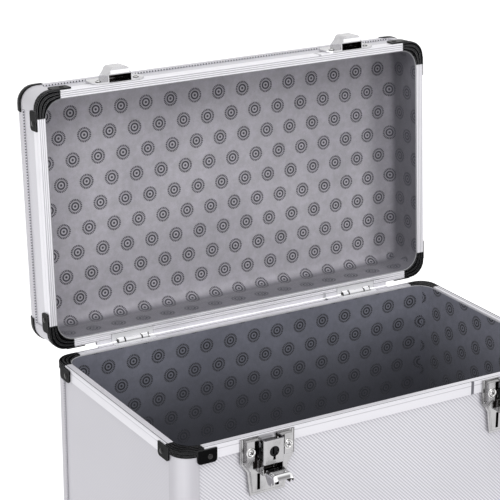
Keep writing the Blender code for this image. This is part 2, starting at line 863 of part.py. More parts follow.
def stadium(first, first_radius, second, second_radius):
    """Outline round two discs, drawn as (out, down)."""
    angle = math.atan2(second[1] - first[1], second[0] - first[0])
    start = arc(first, first_radius, angle + quarter_turn, angle + 3 * quarter_turn, edge_segments)
    end = arc(second, second_radius, angle - quarter_turn, angle + quarter_turn, edge_segments)
    return start + end


def lever(name, centre):
    """Arched finger lever, its two cranks and both pins, standing out from the latch."""
    pivot = (lever_pivot_out, lever_pivot_down)
    turn, wall = lever_round, lever_wall
    high, depth = lever_plate_high, lever_cheek_depth
    outer = arc((lever_half_width - turn, high - turn), turn, 0, quarter_turn, edge_segments)
    inner = arc((lever_half_width - turn, high - turn), turn - wall, 0, quarter_turn,
                edge_segments)
    half_outer = [(lever_half_width, -depth)] + outer
    half_inner = [(lever_half_width - wall, -depth)] + inner
    section = (half_outer + [(-x, z) for x, z in reversed(half_outer)]
               + [(-x, z) for x, z in half_inner] + list(reversed(half_inner)))
    reach = lever_tip - lever_wide_start
    stations = [(lever_wide_start + reach * along, lever_tip_fall * fall)
                for along, fall in lever_nose_shares]
    blade = loft(name, [[latch_point(centre, x, pivot[0] + out,
                                     pivot[1] + (fall - z if z > -depth else depth))
                         for x, z in section] for out, fall in stations])
    wide = (-lever_half_width * 2, lever_half_width * 2)
    root_slope = [(pivot[0] + lever_cheek_start, pivot[1] + turn - high),
                  (pivot[0] + lever_cheek_full, pivot[1] + depth + overshoot),
                  (pivot[0] + lever_cheek_start, pivot[1] + depth + overshoot)]
    cut(blade, side_prism("root_relief", centre, root_slope, *wide))
    beyond = (pivot[0] + lever_tip + overshoot, pivot[1] + depth + overshoot)
    tip_slope = [(pivot[0] + lever_cheek_end, beyond[1]),
                 (pivot[0] + lever_cheek_end + lever_cheek_rise, pivot[1] + lever_tip_depth),
                 (beyond[0], pivot[1] + lever_tip_depth), beyond]
    cut(blade, side_prism("tip_relief", centre, tip_slope, *wide))
    join(blade, latch_box("tongue", centre, (-lug_outer, lug_outer),
                          (pivot[0] + lever_tongue_start, pivot[0] + lever_wide_start + overshoot),
                          (pivot[1] - lever_plate_high, pivot[1] - lever_plate_low)))
    for sign in (-1, 1):
        near, far = sorted((sign * lug_inner, sign * lug_outer))
        join(blade, side_prism("crank", centre,
                               stadium(pivot, hub_radius, crank_end(), crank_end_radius),
                               near, far))
    join(blade, cylinder("pivot_pin", latch_point(centre, -pivot_pin_half, *pivot),
                         latch_point(centre, pivot_pin_half, *pivot), pivot_pin_radius,
                         small_segments))
    join(blade, cylinder("crank_pin", latch_point(centre, -lug_outer + overshoot / 2,
                                                  *crank_end()),
                         latch_point(centre, lug_outer - overshoot / 2, *crank_end()),
                         crank_pin_radius, small_segments))
    return blade


def hook(name, centre):
    """Two arms up from the crank pin to a cross bar with a nose."""
    eye = crank_end()
    bar = latch_box(name, centre, (-hook_arm_outer - hook_bar_lap, hook_arm_outer + hook_bar_lap),
                    (hook_arm_back - hook_bar_lap, hook_nose),
                    (hook_top, hook_top + hook_nose_height))
    outline = [(hook_arm_back, hook_top + overshoot), (hook_arm_front, hook_top + overshoot),
               (hook_arm_front, hook_knee)]
    outline += arc(eye, hook_eye_radius, 0, math.pi, edge_segments * 2)
    outline += [(hook_arm_back, hook_knee)]
    for sign in (-1, 1):
        near, far = sorted((sign * hook_arm_inner, sign * hook_arm_outer))
        arm = side_prism("arm", centre, outline, near, far)
        cut(arm, cylinder("eye_hole", latch_point(centre, near - overshoot, *eye),
                          latch_point(centre, far + overshoot, *eye), hook_eye_hole))
        join(bar, arm)
    return bar


def lock_barrel(name, centre):
    """Lock plug with a key slot in front and a cam behind."""
    body = cylinder(name, latch_point(centre, 0, barrel_back, keyhole_level),
                    latch_point(centre, 0, barrel_front, keyhole_level), barrel_radius)
    join(body, latch_box("cam", centre, (-barrel_cam_half, barrel_cam_half),
                         (barrel_back, barrel_cam_front),
                         (keyhole_level, keyhole_level + barrel_cam_length)))
    cut(body, latch_box("key_slot", centre, (-barrel_slot_half, barrel_slot_half),
                        (barrel_front - barrel_slot_depth, barrel_front + overshoot),
                        (keyhole_level - barrel_slot_reach, keyhole_level + barrel_slot_reach)))
    return body


def keeper_point(centre, across, out, up):
    """A world point on the front of the shut lid."""
    return Vector((centre + across, -half_depth - out, lid_mouth + up))


def keeper_box(name, centre, across, out, up):
    """A box by its spans across, outwards and up."""
    return box(name, keeper_point(centre, across[0], out[0], up[0]),
               keeper_point(centre, across[1], out[1], up[1]))


def hood_section(half, height, turn):
    """Arched section of the hood as (across, out), drawn in above its skirt."""
    crown = half + hood_crown_half - hood_half
    right = [(half, min(hood_skirt, height / 2))]
    right += arc((crown - turn, height - turn), turn, 0, quarter_turn, edge_segments)
    return right + [(-x, out) for x, out in reversed(right)]


def hood_solid(name, centre, half, height, turn, floor, start, end, tail):
    """The hood as a solid: full height, then rounded down towards the panel."""
    loops = []
    for up, share_height in ((start, height), (end - (height - tail) / 2, height),
                             (end - (height - tail) / 8, (height + tail) / 2), (end, tail)):
        section = hood_section(half, share_height, min(turn, share_height / 2))
        section += [(-half, floor), (half, floor)]
        loops.append([keeper_point(centre, across, out, up) for across, out in section])
    return loft(name, loops)


def keeper(name, centre):
    """Plate with two screwed wings and a hood whose rolled lip the hook catches."""
    outline = [(-keeper_half_width, keeper_corner), (keeper_corner - keeper_half_width, 0),
               (keeper_half_width - keeper_corner, 0), (keeper_half_width, keeper_corner),
               (keeper_half_width, keeper_depth - keeper_corner),
               (keeper_half_width - keeper_corner, keeper_depth),
               (keeper_corner - keeper_half_width, keeper_depth),
               (-keeper_half_width, keeper_depth - keeper_corner)]
    plate = loft(name, [[keeper_point(centre, across, out, up) for across, up in outline]
                        for out in (keeper_lift, keeper_plate_face)])
    join(plate, keeper_box("packing", centre,
                           (keeper_corner - keeper_half_width, keeper_half_width - keeper_corner),
                           (plate_back, keeper_plate_face - keeper_lift),
                           (keeper_back_start, keeper_depth - keeper_lift)))
    join(plate, hood_solid("hood", centre, hood_half, hood_height, hood_round, keeper_lift * 2,
                           keeper_lift, hood_depth, hood_tail))
    cavity_half = hood_half - hood_wall
    cut(plate, hood_solid("cavity", centre, cavity_half, hood_height - hood_wall,
                          hood_round - hood_wall, keeper_floor, hood_front_wall,
                          hood_depth - hood_wall, hood_tail - hood_wall))
    cut(plate, keeper_box("mouth", centre, (-cavity_half, cavity_half), (keeper_floor, lip_level),
                          (-overshoot, hood_front_wall + overshoot)))
    lip_out = lip_level + lip_radius
    join(plate, cylinder("lip", keeper_point(centre, -lip_half, lip_out, lip_radius + keeper_lift),
                         keeper_point(centre, lip_half, lip_out, lip_radius + keeper_lift),
                         lip_radius, small_segments))
    return plate


for word, sign in (("left", -1), ("right", 1)):
    centre = sign * latch_place
    finish(latch_base("base", centre), f"latch_{word}_base", nickel)
    lever_axis = Group(f"latch_{word}_lever_axis",
                       latch_point(centre, 0, lever_pivot_out, lever_pivot_down))
    finish(lever("lever", centre), f"latch_{word}_lever", nickel, lever_axis)
    hook_axis = Group(f"latch_{word}_hook_axis", latch_point(centre, 0, *crank_end()),
                      parent=lever_axis)
    finish(hook("hook", centre), f"latch_{word}_hook", nickel, hook_axis)
    lock_axis = Group(f"latch_{word}_lock_axis", latch_point(centre, 0, barrel_front,
                                                             keyhole_level))
    finish(lock_barrel("barrel", centre), f"latch_{word}_lock", nickel, lock_axis)
    finish(keeper("keeper", centre), f"latch_{word}_keeper", nickel, lid)


# Carrying handle: two screwed mounts with pins and a swinging black grip
top_face = lid_top - panel_inset
handle_level = top_face + handle_axis_height
handle_axis = Group("handle_axis", (0, 0, handle_level), parent=lid, turn=handle_hang_angle)


def handle_mount(name, sign):
    """Base plate, ear and the pin that points at the grip."""
    low = top_face + mount_lift
    plate = box(name, (sign * mount_place - mount_half_length, -mount_half_width, low),
                (sign * mount_place + mount_half_length, mount_half_width, low + mount_thickness))
    ear_near, ear_far = sign * (mount_place + mount_ear_near), sign * (mount_place - mount_ear_far
                                                                      + mount_ear_near)
    near, far = sorted((ear_near, ear_far))
    ear = [(-mount_ear_half, low + mount_thickness / 2)]
    ear += [(y, z) for y, z in reversed(arc((0, handle_level), mount_ear_half, 0, math.pi,
                                            edge_segments * 2))]
    ear += [(mount_ear_half, low + mount_thickness / 2)]
    join(plate, loft("ear", [[Vector((x, y, z)) for y, z in ear] for x in (near, far)]))
    pin_start = sign * (mount_place - mount_ear_far + mount_ear_near + overshoot)
    join(plate, cylinder("pin", (pin_start, 0, handle_level),
                         (pin_start - sign * handle_pin_reach, 0, handle_level),
                         handle_pin_radius))
    return plate


def handle_grip(name):
    """A bar bent to a U, lying back flat over the lid, with an eye at each end."""
    reach, bend = handle_arm_length, handle_bend
    path = [((handle_arm_centre, 0), (1, 0))]
    centre = (handle_arm_centre - bend, reach - bend)
    for k in range(handle_bend_segments + 1):
        angle = quarter_turn * k / handle_bend_segments
        place = (centre[0] + bend * math.cos(angle), centre[1] + bend * math.sin(angle))
        path.append((place, (math.cos(angle), math.sin(angle))))
    path += [((-x, y), (-out_x, out_y)) for (x, y), (out_x, out_y) in reversed(path)]
    section = arc((0, 0), handle_section, 0, 2 * math.pi, small_segments)[:-1]
    loops = [[Vector((x + out_x * a, y + out_y * a, handle_level + b)) for a, b in section]
             for (x, y), (out_x, out_y) in path]
    bar = loft(name, loops)
    for sign in (-1, 1):
        near, far = sorted((sign * (handle_arm_centre - handle_arm_half),
                            sign * (handle_arm_centre + handle_arm_half)))
        join(bar, cylinder("eye", (near, 0, handle_level), (far, 0, handle_level),
                           handle_eye_radius))
        cut(bar, cylinder("eye_hole", (near - overshoot, 0, handle_level),
                          (far + overshoot, 0, handle_level), handle_eye_hole))
    return bar


finish(handle_mount("mount", -1), "handle_mount_left", nickel, lid)
finish(handle_mount("mount", 1), "handle_mount_right", nickel, lid)
finish(handle_grip("grip"), "handle_grip", black_plastic, handle_axis)

# Centre the open case over the origin, fore and aft
bpy.context.view_layer.update()
pieces = [obj for obj in case_collection.objects if obj.type == "MESH"]
depths = [(obj.matrix_world @ vert.co).y for obj in pieces for vert in obj.data.vertices]
middle = Vector((0, (min(depths) + max(depths)) / 2, 0))
for obj in case_collection.objects:
    if obj.parent is None and obj.type == "MESH":
        obj.data.transform(Matrix.Translation(-middle))
    elif obj.parent is None:
        obj.location -= middle
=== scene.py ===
"""Dresses the record carrying case: finishes, lining, seams, fasteners, studio and camera."""

import functools
import json
import logging
import math
from dataclasses import dataclass, field
from enum import Enum
from typing import NamedTuple

import bmesh
import bpy
from mathutils import Matrix, Vector

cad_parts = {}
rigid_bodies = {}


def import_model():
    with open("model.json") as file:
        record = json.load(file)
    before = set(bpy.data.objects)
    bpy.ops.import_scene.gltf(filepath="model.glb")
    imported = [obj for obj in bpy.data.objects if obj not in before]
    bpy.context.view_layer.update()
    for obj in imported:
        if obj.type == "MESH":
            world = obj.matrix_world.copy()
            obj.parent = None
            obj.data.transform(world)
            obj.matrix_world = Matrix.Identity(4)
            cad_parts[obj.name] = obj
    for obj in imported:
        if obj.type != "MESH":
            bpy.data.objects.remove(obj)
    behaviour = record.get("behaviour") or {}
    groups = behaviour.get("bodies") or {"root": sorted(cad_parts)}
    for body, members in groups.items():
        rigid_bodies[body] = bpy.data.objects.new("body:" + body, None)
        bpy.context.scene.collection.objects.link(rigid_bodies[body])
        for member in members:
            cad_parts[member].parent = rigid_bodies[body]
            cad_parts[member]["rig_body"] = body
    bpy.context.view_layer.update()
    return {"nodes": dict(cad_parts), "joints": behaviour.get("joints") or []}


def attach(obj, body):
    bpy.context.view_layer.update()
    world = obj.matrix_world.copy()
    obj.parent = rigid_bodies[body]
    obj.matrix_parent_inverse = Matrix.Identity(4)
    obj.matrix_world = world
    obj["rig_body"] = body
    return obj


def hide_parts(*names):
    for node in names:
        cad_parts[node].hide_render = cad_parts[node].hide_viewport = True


logging.basicConfig(level=logging.INFO, format="%(message)s")
LOG = logging.getLogger("record_case")
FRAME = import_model()
Socket = bpy.types.NodeSocket
BMesh = bmesh.types.BMesh
Pair = tuple[float, float]
Triple = tuple[float, float, float]
Colour = tuple[float, float, float, float]
Input = Socket | Colour | Vector | Triple | float
Inputs = dict[str | int, Input]


class Worded(Enum):
    """A choice whose name is part of the names of nodes and pieces."""

    @property
    def word(self) -> str:
        """The choice's name as the nodes and pieces have it."""
        return self.name.lower()


class Half(Worded):
    """The two halves of the case, by the name of their body."""

    BODY = "case_body"
    LID = "lid"


class Face(Worded):
    """The faces of the shut case, by their outward direction."""

    FRONT = (0, -1, 0)
    BACK = (0, 1, 0)
    LEFT = (-1, 0, 0)
    RIGHT = (1, 0, 0)
    BOTTOM = (0, 0, -1)
    TOP = (0, 0, 1)


class Hand(Worded):
    """Left and right of the case, seen from the front."""

    LEFT = -1
    RIGHT = 1


class Noise(NamedTuple):
    """The grain size, layers and roughness of a noise texture."""

    scale: float
    detail: float = 3.0
    rough: float = 0.5


CORNERS = ("front_left", "front_right", "back_left", "back_right")
WALLS = (Face.FRONT, Face.BACK, Face.LEFT, Face.RIGHT)
LONG_WALLS = (Face.FRONT, Face.BACK)
NOISE_BAND = (0.3, 0.7)
HIGH_BAND = (0.35, 0.75)
WHITE: Colour = (1, 1, 1, 1)


@dataclass(frozen=True)
class Layout:
    """Places on the shut case, in metres; the lid is swung open from them."""

    half_width: float = 0.180
    half_depth: float = 0.104
    floor_level: float = 0.004
    mating_level: float = 0.3165
    lid_mouth: float = 0.3169
    lid_top: float = 0.3599
    hinge_offset: float = 0.003
    open_angle: float = math.radians(93.5)
    latch_place: float = 0.108

    @property
    def hinge(self) -> Vector:
        """A point on the hinge line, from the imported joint."""
        return Vector(next(j for j in FRAME["joints"] if j["name"] == "lid_hinge")["pos_m"])

    @property
    def middle(self) -> float:
        """The case's middle, fore and aft."""
        return self.hinge.y - self.hinge_offset - self.half_depth

    @property
    def lid_turn(self) -> Matrix:
        """Swings a point of the shut lid to where the lid stands open."""
        turn = Matrix.Rotation(-self.open_angle, 4, "X")
        return Matrix.Translation(self.hinge) @ turn @ Matrix.Translation(-self.hinge)

    def half_length(self, face: Face) -> float:
        """Gives half the length of a wall."""
        return self.half_width if face in LONG_WALLS else self.half_depth

    def from_mouth(self, half: Half, far: float = 0.0) -> float:
        """Gives the level that lies some way into a half from its mouth."""
        return self.mating_level - far if half is Half.BODY else self.lid_mouth + far

    def wall_point(self, face: Face, along: float, inward: float, level: float) -> Vector:
        """Finds a point by its wall.

        Args:
            face: One of the four walls.
            along: Distance along the wall from its middle.
            inward: Depth in from the rail face.
            level: Height.

        Returns:
            The point on the shut case.
        """
        side = sum(face.value)
        if face in LONG_WALLS:
            return Vector((along, self.middle + side * (self.half_depth - inward), level))
        return Vector((side * (self.half_width - inward), self.middle + along, level))

    def wall_frame(self, face: Face, at: Vector) -> Matrix:
        """Stands a piece modelled on +Z out of a face.

        Args:
            face: The face it stands on.
            at: Where it stands.

        Returns:
            The matrix that takes +Z to the face's outward direction and +Y upwards.
        """
        out = Vector(face.value)
        up = Vector((0, 0, 1) if face in WALLS else (0, 1, 0))
        return Matrix.Translation(at) @ Matrix((up.cross(out), up, out)).transposed().to_4x4()


LAYOUT = Layout()


class Graph:
    """The node tree of a material or of the world, with short calls for its nodes."""

    def __init__(self, name: str, world: bool = False) -> None:
        """Starts a material, or a world, with its one shader.

        Args:
            name: Its name.
            world: Whether it is the world's.
        """
        self.owner = (bpy.data.worlds if world else bpy.data.materials).new(name)
        self.owner.use_nodes = True
        self.tree = self.owner.node_tree
        self.shader = self.tree.nodes["Background" if world else "Principled BSDF"]

    def feed(self, target: Socket, value: Input) -> None:
        """Links a socket to an input, or writes a value into it.

        Args:
            target: The input.
            value: The socket or the value.
        """
        if isinstance(value, Socket):
            self.tree.links.new(value, target)
        else:
            target.default_value = value

    def node(self, kind: str, inputs: Inputs | None = None, **settings: str) -> bpy.types.Node:
        """Adds a node.

        Args:
            kind: The node's type name, without its ShaderNode prefix.
            inputs: Input name or index to a value or to a socket that feeds it.
            **settings: Properties of the node itself.

        Returns:
            The node.
        """
        made = self.tree.nodes.new("ShaderNode" + kind)
        for key, value in settings.items():
            setattr(made, key, value)
        for key, value in (inputs or {}).items():
            self.feed(made.inputs[key], value)
        return made

    def calc(self, operation: str, *values: Socket | float) -> Socket:
        """Adds one Math node and gives its result."""
        return self.node("Math", dict(enumerate(values)), operation=operation).outputs[0]

    def chain(self, operation: str, *values: Socket) -> Socket:
        """Joins any number of values by one Math operation."""
        return functools.reduce(lambda first, second: self.calc(operation, first, second), values)

    def gap(self, first: Socket | float, second: Socket | float) -> Socket:
        """Gives how far apart two values are."""
        return self.calc("ABSOLUTE", self.calc("SUBTRACT", first, second))

    def zigzag(self, value: Socket) -> Socket:
        """Runs from 0 up to a half and back for each unit of a value."""
        return self.calc("PINGPONG", value, 0.5)

    def smooth(self, value: Socket, low: float, high: float, start: float = 0.0, end: float = 1.0) -> Socket:
        """Maps a value smoothly from the range low to high onto the range start to end."""
        made = self.node("MapRange", {"Value": value, "From Min": low, "From Max": high, "To Min": start,
                                      "To Max": end}, interpolation_type="SMOOTHSTEP")
        return made.outputs["Result"]

    def place(self, half: Half, scale: Triple = (1, 1, 1)) -> Socket:
        """Gives coordinates on the shut case, so that a pattern runs true on the open lid too.

        Args:
            half: Which half the piece is on.
            scale: Stretch of the pattern along the three axes.

        Returns:
            The coordinates.
        """
        spot = self.node("TexCoord").outputs["Object"]
        if half is Half.LID:
            back = LAYOUT.lid_turn.inverted()
            spot = self.node("Mapping", {"Vector": spot, "Location": back.translation,
                                         "Rotation": (LAYOUT.open_angle, 0, 0)}).outputs[0]
        if scale != (1, 1, 1):
            spot = self.node("Mapping", {"Vector": spot, "Scale": scale}).outputs[0]
        return spot

    def axes(self, half: Half) -> bpy.types.NodeOutputs:
        """Gives the three coordinates on the shut case."""
        return self.node("SeparateXYZ", {0: self.place(half)}).outputs

    def noise(self, spot: Socket, noise: Noise) -> Socket:
        """Adds a noise texture and gives its value."""
        return self.node("TexNoise", {"Vector": spot, "Scale": noise.scale, "Detail": noise.detail,
                                      "Roughness": noise.rough}).outputs[0]

    def blend(self, share: Socket, first: Input, second: Input) -> Socket:
        """Mixes two colours by a share."""
        return self.node("Mix", {0: share, 6: first, 7: second}, data_type="RGBA").outputs[2]

    def bump(self, height: Socket, depth: float, strength: float, under: Socket | None = None) -> Socket:
        """Turns a relief of so many metres into a normal, laid over another one where there is one."""
        inputs = {"Height": height, "Distance": depth, "Strength": strength}
        return self.node("Bump", inputs if under is None else inputs | {"Normal": under}).outputs[0]

    def within(self, value: Socket, low: float, high: float, soft: float = 0.0002) -> Socket:
        """Gives 1 between two bounds and 0 outside them, with a soft change at each."""
        return self.calc("MULTIPLY", self.smooth(value, low - soft, low + soft),
                         self.smooth(value, high - soft, high + soft, 1.0, 0.0))

    def wall_distances(self, half: Half, axis: int) -> tuple[Socket, Socket]:
        """Gives how deep a point is in from its wall, and how far from the mouth.

        Args:
            half: Which half the piece is on.
            axis: 0 for the left and right walls, 1 for the front and back ones.

        Returns:
            The two distances in metres.
        """
        axes = self.axes(half)
        middle, reach = ((0.0, LAYOUT.half_width), (LAYOUT.middle, LAYOUT.half_depth))[axis]
        inward = self.calc("SUBTRACT", reach, self.gap(axes[axis], middle))
        return inward, self.gap(axes[2], LAYOUT.from_mouth(half))

    def dress(self, **sockets: Input) -> bpy.types.Material | bpy.types.World:
        """Feeds the shader.

        Args:
            **sockets: Sockets or values by the name of the shader's input, with _ for a space.

        Returns:
            The material or the world.
        """
        for key, value in sockets.items():
            self.feed(self.shader.inputs[key.replace("_", " ")], value)
        return self.owner


@dataclass(frozen=True)
class SatinAluminium:
    """Anodised rails and posts, drawn along their length."""

    half: Half
    along: int = 0
    grooves: tuple[float, ...] = ()
    light: Colour = (0.64, 0.63, 0.665, 1)
    shade: Colour = (0.58, 0.57, 0.605, 1)
    side_shade: Colour = (0.52, 0.51, 0.545, 1)
    rim_light: Colour = (0.79, 0.78, 0.82, 1)
    lid_rim_light: Colour = (0.90, 0.89, 0.93, 1)
    dark: Colour = (0.13, 0.13, 0.15, 1)
    soft_dark: Colour = (0.55, 0.545, 0.575, 1)
    metal: float = 0.38
    gloss: float = 0.33
    gloss_spread: float = 0.12
    cloud_gloss: float = 0.06
    clouds: Noise = Noise(22.0)
    rim_cloud_band: Pair = (0.2, 0.5)
    rim_cloud_shares: Pair = (0.75, 1.0)
    draw: Noise = Noise(900.0, 2.0)
    draw_stretch: float = 0.01
    draw_depth: float = 0.00002
    draw_strength: float = 0.25
    groove_half: float = 0.00032
    groove_soft: float = 0.00015
    groove_reach: Pair = (0.0007, 0.00091)
    flange_line: float = 0.0032
    flange_face: Pair = (0.0004, 0.0008)
    flange_share: float = 0.35
    ledge_end: Pair = (0.1347, 0.1402)
    ledge_hollow: Pair = (-0.00255, -0.0002)
    hollow_depth: Pair = (0.00045, 0.00295)
    notch: Pair = (0.0752, 0.0778)
    notch_depth: Pair = (-0.0040, 0.0016)
    ledge_soft: float = 0.0001
    round_reach: Pair = (0.002, 0.013)

    def material(self) -> bpy.types.Material:
        """Builds the finish.

        Returns:
            Its material.
        """
        kind = f"rim_{len(self.grooves)}" if self.grooves else "plain"
        graph = Graph(f"satin_aluminium_{self.half.word}_{'xyz'[self.along]}_{kind}")
        scale = tuple(self.draw_stretch if axis == self.along else 1.0 for axis in range(3))
        drawn = graph.noise(graph.place(self.half, scale), self.draw)
        clouds = graph.noise(graph.place(self.half), self.clouds)
        colour = graph.blend(graph.smooth(clouds, *NOISE_BAND), self.shade, self.light)
        # Painted shade: the corner posts are lighter in the middle of their round and darker towards both
        # edges.
        if self.along == 2:
            colour = graph.blend(self.turned_away(graph), colour, self.side_shade)
        if self.grooves:
            # Painted light: the lid's rims get a lighter copy of the body rims' colour.
            light, dark = self.lid_rim_light, self.soft_dark
            if self.half is Half.BODY:
                light, dark = self.rim_light, self.dark
            share = graph.smooth(clouds, *self.rim_cloud_band, *self.rim_cloud_shares)
            colour = graph.blend(self.lines(graph), graph.blend(share, colour, light), dark)
        fine = graph.smooth(drawn, *NOISE_BAND, self.gloss, self.gloss + self.gloss_spread)
        rough = graph.calc("ADD", fine, graph.smooth(clouds, *HIGH_BAND, 0.0, self.cloud_gloss))
        normal = graph.bump(drawn, self.draw_depth, self.draw_strength)
        return graph.dress(Base_Color=colour, Metallic=self.metal, Roughness=rough, Normal=normal)

    def turned_away(self, graph: Graph) -> Socket:
        """Finds the edges of a corner post's round, which painted shade darkens.

        Args:
            graph: The material's nodes.

        Returns:
            0 at the middle of the round and 1 at its two edges.
        """
        from_side, _ = graph.wall_distances(self.half, 0)
        from_front, _ = graph.wall_distances(self.half, 1)
        return graph.smooth(graph.gap(from_side, from_front), *self.round_reach)

    def lines(self, graph: Graph) -> Socket:
        """Darkens a rim rail's grooves and the line on its flange, and paints shade into the ledge's hollow
        ends and into a notch left of the right hinge.

        Args:
            graph: The material's nodes.

        Returns:
            1 in a groove and 0 beside it.
        """
        inward, down = graph.wall_distances(self.half, 1 - self.along)
        across = graph.axes(self.half)[self.along]
        half, soft = self.groove_half, self.ledge_soft
        grooves = graph.chain("MAXIMUM", *(graph.within(inward, place - half, place + half, self.groove_soft)
                                           for place in self.grooves))
        on_top = graph.calc("MULTIPLY", grooves, graph.smooth(down, *self.groove_reach, 1.0, 0.0))
        side = graph.calc("MULTIPLY", graph.within(down, self.flange_line - half, self.flange_line + half),
                          graph.smooth(inward, *self.flange_face, self.flange_share, 0.0))
        # Painted shade: dark patches on the ledge's hollow ends and on a notch left of the right hinge.
        end = graph.chain("MULTIPLY", graph.within(graph.calc("ABSOLUTE", across), *self.ledge_end),
                          graph.within(inward, *self.ledge_hollow, soft),
                          graph.within(down, *self.hollow_depth, soft))
        notch = graph.calc("MULTIPLY", graph.within(across, *self.notch),
                           graph.within(inward, *self.notch_depth, soft))
        return graph.chain("MAXIMUM", on_top, side, end, notch)


@dataclass(frozen=True)
class DiamondLaminate:
    """Silver laminate with raised slanting lines that fainter ones cross."""

    half: Half
    face: Face
    pitch: float = 0.0020
    rake: float = math.radians(45)
    cross: float = 0.16
    line_edges: Pair = (0.06, 0.40)
    ground: Colour = (0.61, 0.60, 0.64, 1)
    lid_ground: Colour = (0.74, 0.73, 0.77, 1)
    crest: Colour = (0.83, 0.82, 0.86, 1)
    valley: Colour = (0.48, 0.47, 0.52, 1)
    faint_shares: Pair = (0.97, 1.02)
    under_latch: Colour = (0.015, 0.015, 0.018, 1)
    latch_edge: Pair = (0.0100, 0.0110)
    latch_height: float = 0.0440
    clouds: Noise = Noise(9.0, 2.0)
    cloud_share: float = 0.25
    metal: float = 0.25
    gloss: Pair = (0.38, 0.46)
    depth: float = 0.00016
    full_strength: float = 0.45
    faint_strength: float = 0.10

    def material(self) -> bpy.types.Material:
        """Builds the finish.

        Returns:
            Its material.
        """
        graph = Graph(f"diamond_laminate_{self.half.word}_{self.face.word}")
        axes = graph.axes(self.half)
        sides = (Face.LEFT, Face.RIGHT)
        across, up = (0, 2) if self.face in LONG_WALLS else (1, 2) if self.face in sides else (0, 1)
        waves = []
        for sign in (1, -1):
            phase = graph.calc("ADD", graph.calc("MULTIPLY", axes[across], math.sin(self.rake) / self.pitch),
                               graph.calc("MULTIPLY", axes[up], sign * math.cos(self.rake) / self.pitch))
            waves.append(graph.smooth(graph.zigzag(phase), *self.line_edges))
        relief = graph.node("Mix", {0: self.cross, 2: waves[0], 3: waves[1]}).outputs[0]
        clouds = graph.noise(graph.place(self.half), self.clouds)
        # Painted light: the lid's panels get a lighter copy of the body's laminate ground.
        ground = self.ground if self.half is Half.BODY else self.lid_ground
        # Painted light and shade: on every panel but the sides the raised lines get a lit crest and a shaded
        # valley; the sides get only a faint copy of the ground.
        low, high, strength = self.valley, self.crest, self.full_strength
        if self.face in sides:
            low, high = (tuple(value * share for value in ground[:3]) + (1,) for share in self.faint_shares)
            strength = self.faint_strength
        colour = graph.blend(relief, low, high)
        colour = graph.blend(graph.smooth(clouds, *NOISE_BAND, 0.0, self.cloud_share), colour, ground)
        # Painted shadow: the board behind each latch is near black where it shows through the slits.
        if self.face is Face.FRONT and self.half is Half.BODY:
            colour = graph.blend(self.latch_shadow(graph), colour, self.under_latch)
        rough = graph.smooth(clouds, *NOISE_BAND, *self.gloss)
        return graph.dress(Base_Color=colour, Metallic=self.metal, Roughness=rough,
                           Normal=graph.bump(relief, self.depth, strength))

    def latch_shadow(self, graph: Graph) -> Socket:
        """Gives 1 where a painted shadow darkens the board behind a latch, which shows through the latch's
        slits, and 0 elsewhere.
        """
        beside, _, down = latch_spot(graph, self.half)
        return graph.calc("MULTIPLY", graph.smooth(beside, *self.latch_edge, 1.0, 0.0),
                          graph.within(down, 0.0, self.latch_height))


def latch_spot(graph: Graph, half: Half) -> tuple[Socket, Socket, Socket]:
    """Gives where a point is on its latch.

    Args:
        graph: The material's nodes.
        half: Which half the piece is on.

    Returns:
        Distances beside the latch's middle, out of the rail face and from the mouth.
    """
    axes = graph.axes(half)
    beside = graph.gap(graph.calc("ABSOLUTE", axes[0]), LAYOUT.latch_place)
    out = graph.calc("SUBTRACT", LAYOUT.middle - LAYOUT.half_depth, axes[1])
    return beside, out, graph.gap(axes[2], LAYOUT.from_mouth(half))


@dataclass(frozen=True)
class MouldedBlack:
    """Glossy black plastic with a fine mould grain."""

    colour: Colour = (0.0022, 0.0022, 0.0026, 1)
    worn: Colour = (0.008, 0.008, 0.009, 1)
    gloss: float = 0.20
    gloss_spread: float = 0.14
    shine: float = 0.03
    scuffs: Noise = Noise(160.0, 6.0, 0.7)
    scuff_band: Pair = (0.58, 0.75)
    clouds: Noise = Noise(60.0, 4.0)
    grain: Noise = Noise(2600.0, 2.0)
    grain_depth: float = 0.00004
    grain_strength: float = 0.2

    def material(self) -> bpy.types.Material:
        """Builds the finish.

        Returns:
            Its material.
        """
        graph = Graph(f"moulded_black_{round(self.gloss * 100)}_{round(self.colour[0] * 10000)}")
        spot = graph.place(Half.BODY)
        scuffs = graph.smooth(graph.noise(spot, self.scuffs), *self.scuff_band)
        clouds = graph.noise(spot, self.clouds)
        return graph.dress(
            Base_Color=graph.blend(scuffs, self.colour, self.worn),
            Roughness=graph.smooth(clouds, *NOISE_BAND, self.gloss, self.gloss + self.gloss_spread),
            Normal=graph.bump(graph.noise(spot, self.grain), self.grain_depth, self.grain_strength),
            Specular_IOR_Level=self.shine)


@dataclass(frozen=True)
class Hollow:
    """A region of a latch or hinge whose tone is painted light: painted shade, or a painted highlight or
    reflection.

    Its bounds are distances beside the latch's middle, out of the front rails' face and from the
    mouth.
    """

    beside: Pair
    out: Pair
    down: Pair
    tone: Colour = (0.016, 0.013, 0.012, 1)
    soft: float = 0.0001

    def mask(self, graph: Graph, half: Half) -> Socket:
        """Gives 1 inside the bounds and 0 outside, for a piece on one half."""
        bounds = zip(latch_spot(graph, half), (self.beside, self.out, self.down))
        return graph.chain("MULTIPLY", *(graph.within(value, *pair, self.soft) for value, pair in bounds))


